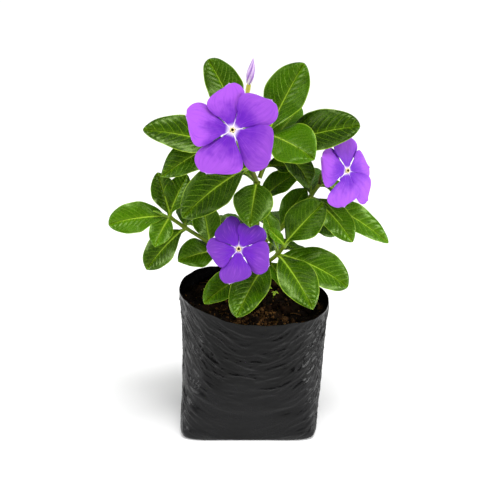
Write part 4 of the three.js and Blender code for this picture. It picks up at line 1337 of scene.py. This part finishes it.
def add_petal(surfaces, flower, petal, gaps, draws):
    # A petal's lightness is painted light and shade, given to its material with its tone
    angle, length_share, tone = petal
    radius = flower["radius"] * length_share
    first = TUBE_RADIUS + 0.15
    turned = math.radians(angle)
    twist = math.radians(PETAL_TWIST)
    share = np.sin(np.linspace(0, 1, PETAL_SECTIONS + 1) * math.pi / 2)[:, None]
    side = np.linspace(-1, 1, PETAL_STRIPS + 1)[None, :]
    reach = first + (radius - first) * share
    gap = np.where(side > 0, gaps[0], gaps[1])
    wedge = np.tan(np.radians(gap / 2)) * reach
    full = PETAL_WIDTH * flower["radius"] * np.maximum(gap, LEAST_PETAL_GAP) / EVEN_PETAL_GAP
    swell = np.sin(math.pi * share ** PETAL_WIDEST_POWER).clip(0, 1) ** PETAL_FULLNESS
    parted = wedge - SLIT_WIDTH / 2 + radius * ease(SLIT_SHARE - 0.1, SLIT_SHARE + 0.2, share)
    fused = 1.04 * wedge * ease(1.5 * THROAT_SHARE, THROAT_SHARE, share)
    foot = PETAL_FOOT_HALF_WIDTH - 0.55 * share
    half = np.maximum(np.minimum(full * swell, parted), np.maximum(foot, fused))
    across = side * half * math.cos(twist) + PETAL_SKEW * radius * share ** 4
    tip = PETAL_TIP * np.exp(-(side / PETAL_TIP_WIDTH) ** 2) * ease(0.9, 1.0, share)
    corner = -PETAL_CORNER * radius * side * ease(0.5, 1.0, share)
    corner = corner * (1 - ease(0.97, 1.0, share))
    crease = -PETAL_CREASE * np.exp(-(side * half / 0.9) ** 2)
    crease = crease * ease(0.05, 0.3, share) * ease(1.0, 0.6, share)
    wave = PETAL_WAVE * side ** 2 * share * np.sin(5 * share + draws.uniform(0, 6) + 1.7 * side)
    crown = PETAL_CROWN * (1 - side ** 2) * np.sin(math.pi * share)
    curl = -PETAL_CURL * share ** 7 * (0.4 + side ** 2) + crown
    height = flower["cup"] * share ** 2 + side * half * math.sin(twist) + crease + wave + curl
    middle = in_flower(swung(reach + tip + corner, across, height, turned), flower)
    facing = sheet_normals(middle) * 0.5 * PETAL_THICKNESS * (1 - 0.5 * side ** 6)[..., None]
    places = (reach / flower["star"], side * STREAK_FAN, share)
    add_sheet(
        surfaces, middle + facing, middle - facing, places=places, edges=np.abs(side), tone=tone)


def lathe_rings(profile, sides):
    """Rings about +Z from a profile of radius and height."""
    angles = circle_angles(sides)
    rings = np.zeros((len(profile), sides, 3))
    for index, (radius, height) in enumerate(profile):
        rings[index, :, 0] = radius * np.cos(angles)
        rings[index, :, 1] = radius * np.sin(angles)
        rings[index, :, 2] = height
    return rings


def make_flower(flower, seed, petal_top, petal_back, tube):
    draws = np.random.default_rng(seed)
    petals = Surfaces()
    for petal, gaps in zip(flower["petals"], petal_gaps(flower)):
        add_petal(petals, flower, petal, gaps, draws)
    piece = petals.make(flower["name"] + "_corolla", [petal_top, petal_back])
    place_piece(piece, "petal", flower["name"] + "_petals")

    length = flower["tube"]
    profile = [
        (0.6, -length), (0.85, -length * 0.97), (0.86, -length * 0.6), (0.9, -length * 0.45),
        (1.15, -length * 0.3), (1.2, -length * 0.16), (0.98, -length * 0.05), (1.12, 0.1),
        (1.3, 0.42), (1.2, 0.72), (0.92, 0.8), (0.7, 0.62), (TUBE_MOUTH, 0.2),
        (TUBE_MOUTH - 0.05, -TUBE_MOUTH_DEPTH * 0.5), (0.4, -TUBE_MOUTH_DEPTH),
    ]
    rings = lathe_rings(profile, TUBE_SIDES)
    places = np.zeros_like(rings)
    outside = 10
    for index in range(len(profile)):
        places[index, :, 2] = index / outside
    surfaces = Surfaces()
    ends = in_flower(np.array([[0, 0, -length], [0, 0, -TUBE_MOUTH_DEPTH]], float), flower)
    add_rings(surfaces, in_flower(rings, flower), ends[0], ends[1], places=places)
    piece = surfaces.make(flower["name"] + "_throat", [tube])
    place_piece(piece, "flower_tube", flower["name"] + "_tube")


# The bud

def on_bud(points):
    """Points on a bud that stands along +Z, turned to lean its own way."""
    along = bud_axis()
    sideways = unit(np.cross((0, 1, 0), along))
    return turned_to(points, (sideways, np.cross(along, sideways), along), BUD["root"])


def make_bud(furled, tube):
    length = np.linalg.norm(np.array(BUD["tip"], float) - np.array(BUD["root"], float))
    start = length * BUD["tube_share"]
    profile = [
        (0.5, 0), (0.8, 0.4), (0.8, start * 0.5), (0.95, start * 0.68), (1.28, start * 0.8),
        (1.22, start * 0.93), (1.0, start),
    ]
    rings = lathe_rings(profile, TUBE_SIDES)
    places = np.zeros_like(rings)
    places[..., 2] = 0.8 * rings[..., 2] / start
    surfaces = Surfaces()
    ends = on_bud(np.array([[0, 0, 0], [0, 0, start]], float))
    add_rings(surfaces, on_bud(rings), ends[0], ends[1], places=places)
    place_piece(surfaces.make("bud_stalk_tube", [tube]), "flower_tube", "bud_tube")

    share = np.linspace(0, 1, BUD_SECTIONS + 1)[:, None]
    angles = circle_angles(BUD_SIDES)[None, :]
    swell = np.sin(math.pi * np.minimum(1, 0.18 + 0.8 * share ** 0.8)) ** 0.8
    turn = (BUD_PETALS * angles - BUD_WINDING * share) / (2 * math.pi)
    wrap = turn - np.floor(turn)
    overlap = BUD_OVERLAP * wrap * swell
    reach = np.maximum(0.12, BUD["radius"] * swell * (0.92 + overlap))
    height = start + 0.1 + (length - start - 0.2) * share + 0 * angles
    rings = np.stack([reach * np.cos(angles), reach * np.sin(angles), height], axis=-1)
    places = np.zeros_like(rings)
    places[..., 2] = share
    surfaces = Surfaces()
    ends = on_bud(np.array([[0, 0, start], [0, 0, length]], float))
    edges = np.concatenate([[0], wrap.ravel(), [0]])
    add_rings(surfaces, on_bud(rings), ends[0], ends[1], places=places, edges=edges)
    place_piece(surfaces.make("bud_spindle", [furled], sharp_angle=70), "bud", "bud")


# The stage

def facing_turn(position, target):
    """The turn of a lamp or a camera at a position that looks at a target."""
    return (Vector(target) - Vector(position)).to_track_quat("-Z", "Y").to_euler()


def add_lamp(name, position, size, energy):
    lamp = bpy.data.lights.new(name, "AREA")
    lamp.shape = "DISK"
    lamp.size = size
    lamp.energy = energy
    light = show(name, lamp)
    light.location = position
    light.rotation_euler = facing_turn(position, LAMP_AIM)


def make_floor():
    half = FLOOR_HALF
    mesh = bpy.data.meshes.new("floor")
    corners = [(-half, -half, 0), (half, -half, 0), (half, half, 0), (-half, half, 0)]
    mesh.from_pydata(corners, [], [(0, 1, 2, 3)])
    mesh.materials.append(floor_finish())
    floor = show("floor", mesh)


def make_lights():
    world = bpy.data.worlds.new("studio")
    world.use_nodes = True
    background = world.node_tree.nodes["Background"]
    background.inputs["Color"].default_value = (1, 1, 1, 1)
    background.inputs["Strength"].default_value = SKY_STRENGTH
    bpy.context.scene.world = world
    bpy.context.scene.view_settings.view_transform = "Standard"
    for lamp in LAMPS:
        add_lamp(*lamp)
    daylight = bpy.data.lights.new("daylight", "SUN")
    daylight.energy = SUN_STRENGTH
    daylight.angle = math.radians(SUN_SPREAD)
    sun = show("daylight", daylight)
    sun.rotation_euler = [math.radians(angle) for angle in SUN_TILT]


def make_camera():
    lens = bpy.data.cameras.new("camera")
    lens.lens = CAMERA_LENS
    lens.sensor_width = CAMERA_SENSOR
    camera = show("camera", lens)
    target = Vector(CAMERA_TARGET) * MM
    lift = math.radians(CAMERA_ELEVATION)
    distance = CAMERA_DISTANCE * MM
    camera.location = target + Vector((0, -math.cos(lift), math.sin(lift))) * distance
    camera.rotation_euler = facing_turn(camera.location, target)
    bpy.context.scene.camera = camera


# The whole scene


make_camera()
make_floor()
make_lights()
make_bag(film_finish())
soil_material = soil_finish()
make_soil(soil_material)
make_crumbs(soil_material)
top_finish = leaf_top_finish()
back_finish = leaf_back_finish()
skin_finish = stem_finish()
make_seedlings(top_finish, back_finish, skin_finish)
for number, shoot in enumerate(SHOOTS):
    make_shoot(shoot, SHOOT_SEED + number, top_finish, back_finish, skin_finish)
# The dark and light violets of the petal tops are their shaded and lit colours, for painted light and
# shade
violet_top = petal_finish(
    "petal_top", colour(92, 10, 166), colour(82, 26, 144), colour(162, 80, 210), 1.0)
violet_back = petal_finish(
    "petal_back", colour(150, 98, 214), colour(160, 110, 220), colour(202, 160, 244), 0.5)
pale_tube = tube_finish()
for number, flower in enumerate(FLOWERS):
    make_flower(flower, FLOWER_SEED + number, violet_top, violet_back, pale_tube)
make_bud(bud_finish(), pale_tube)
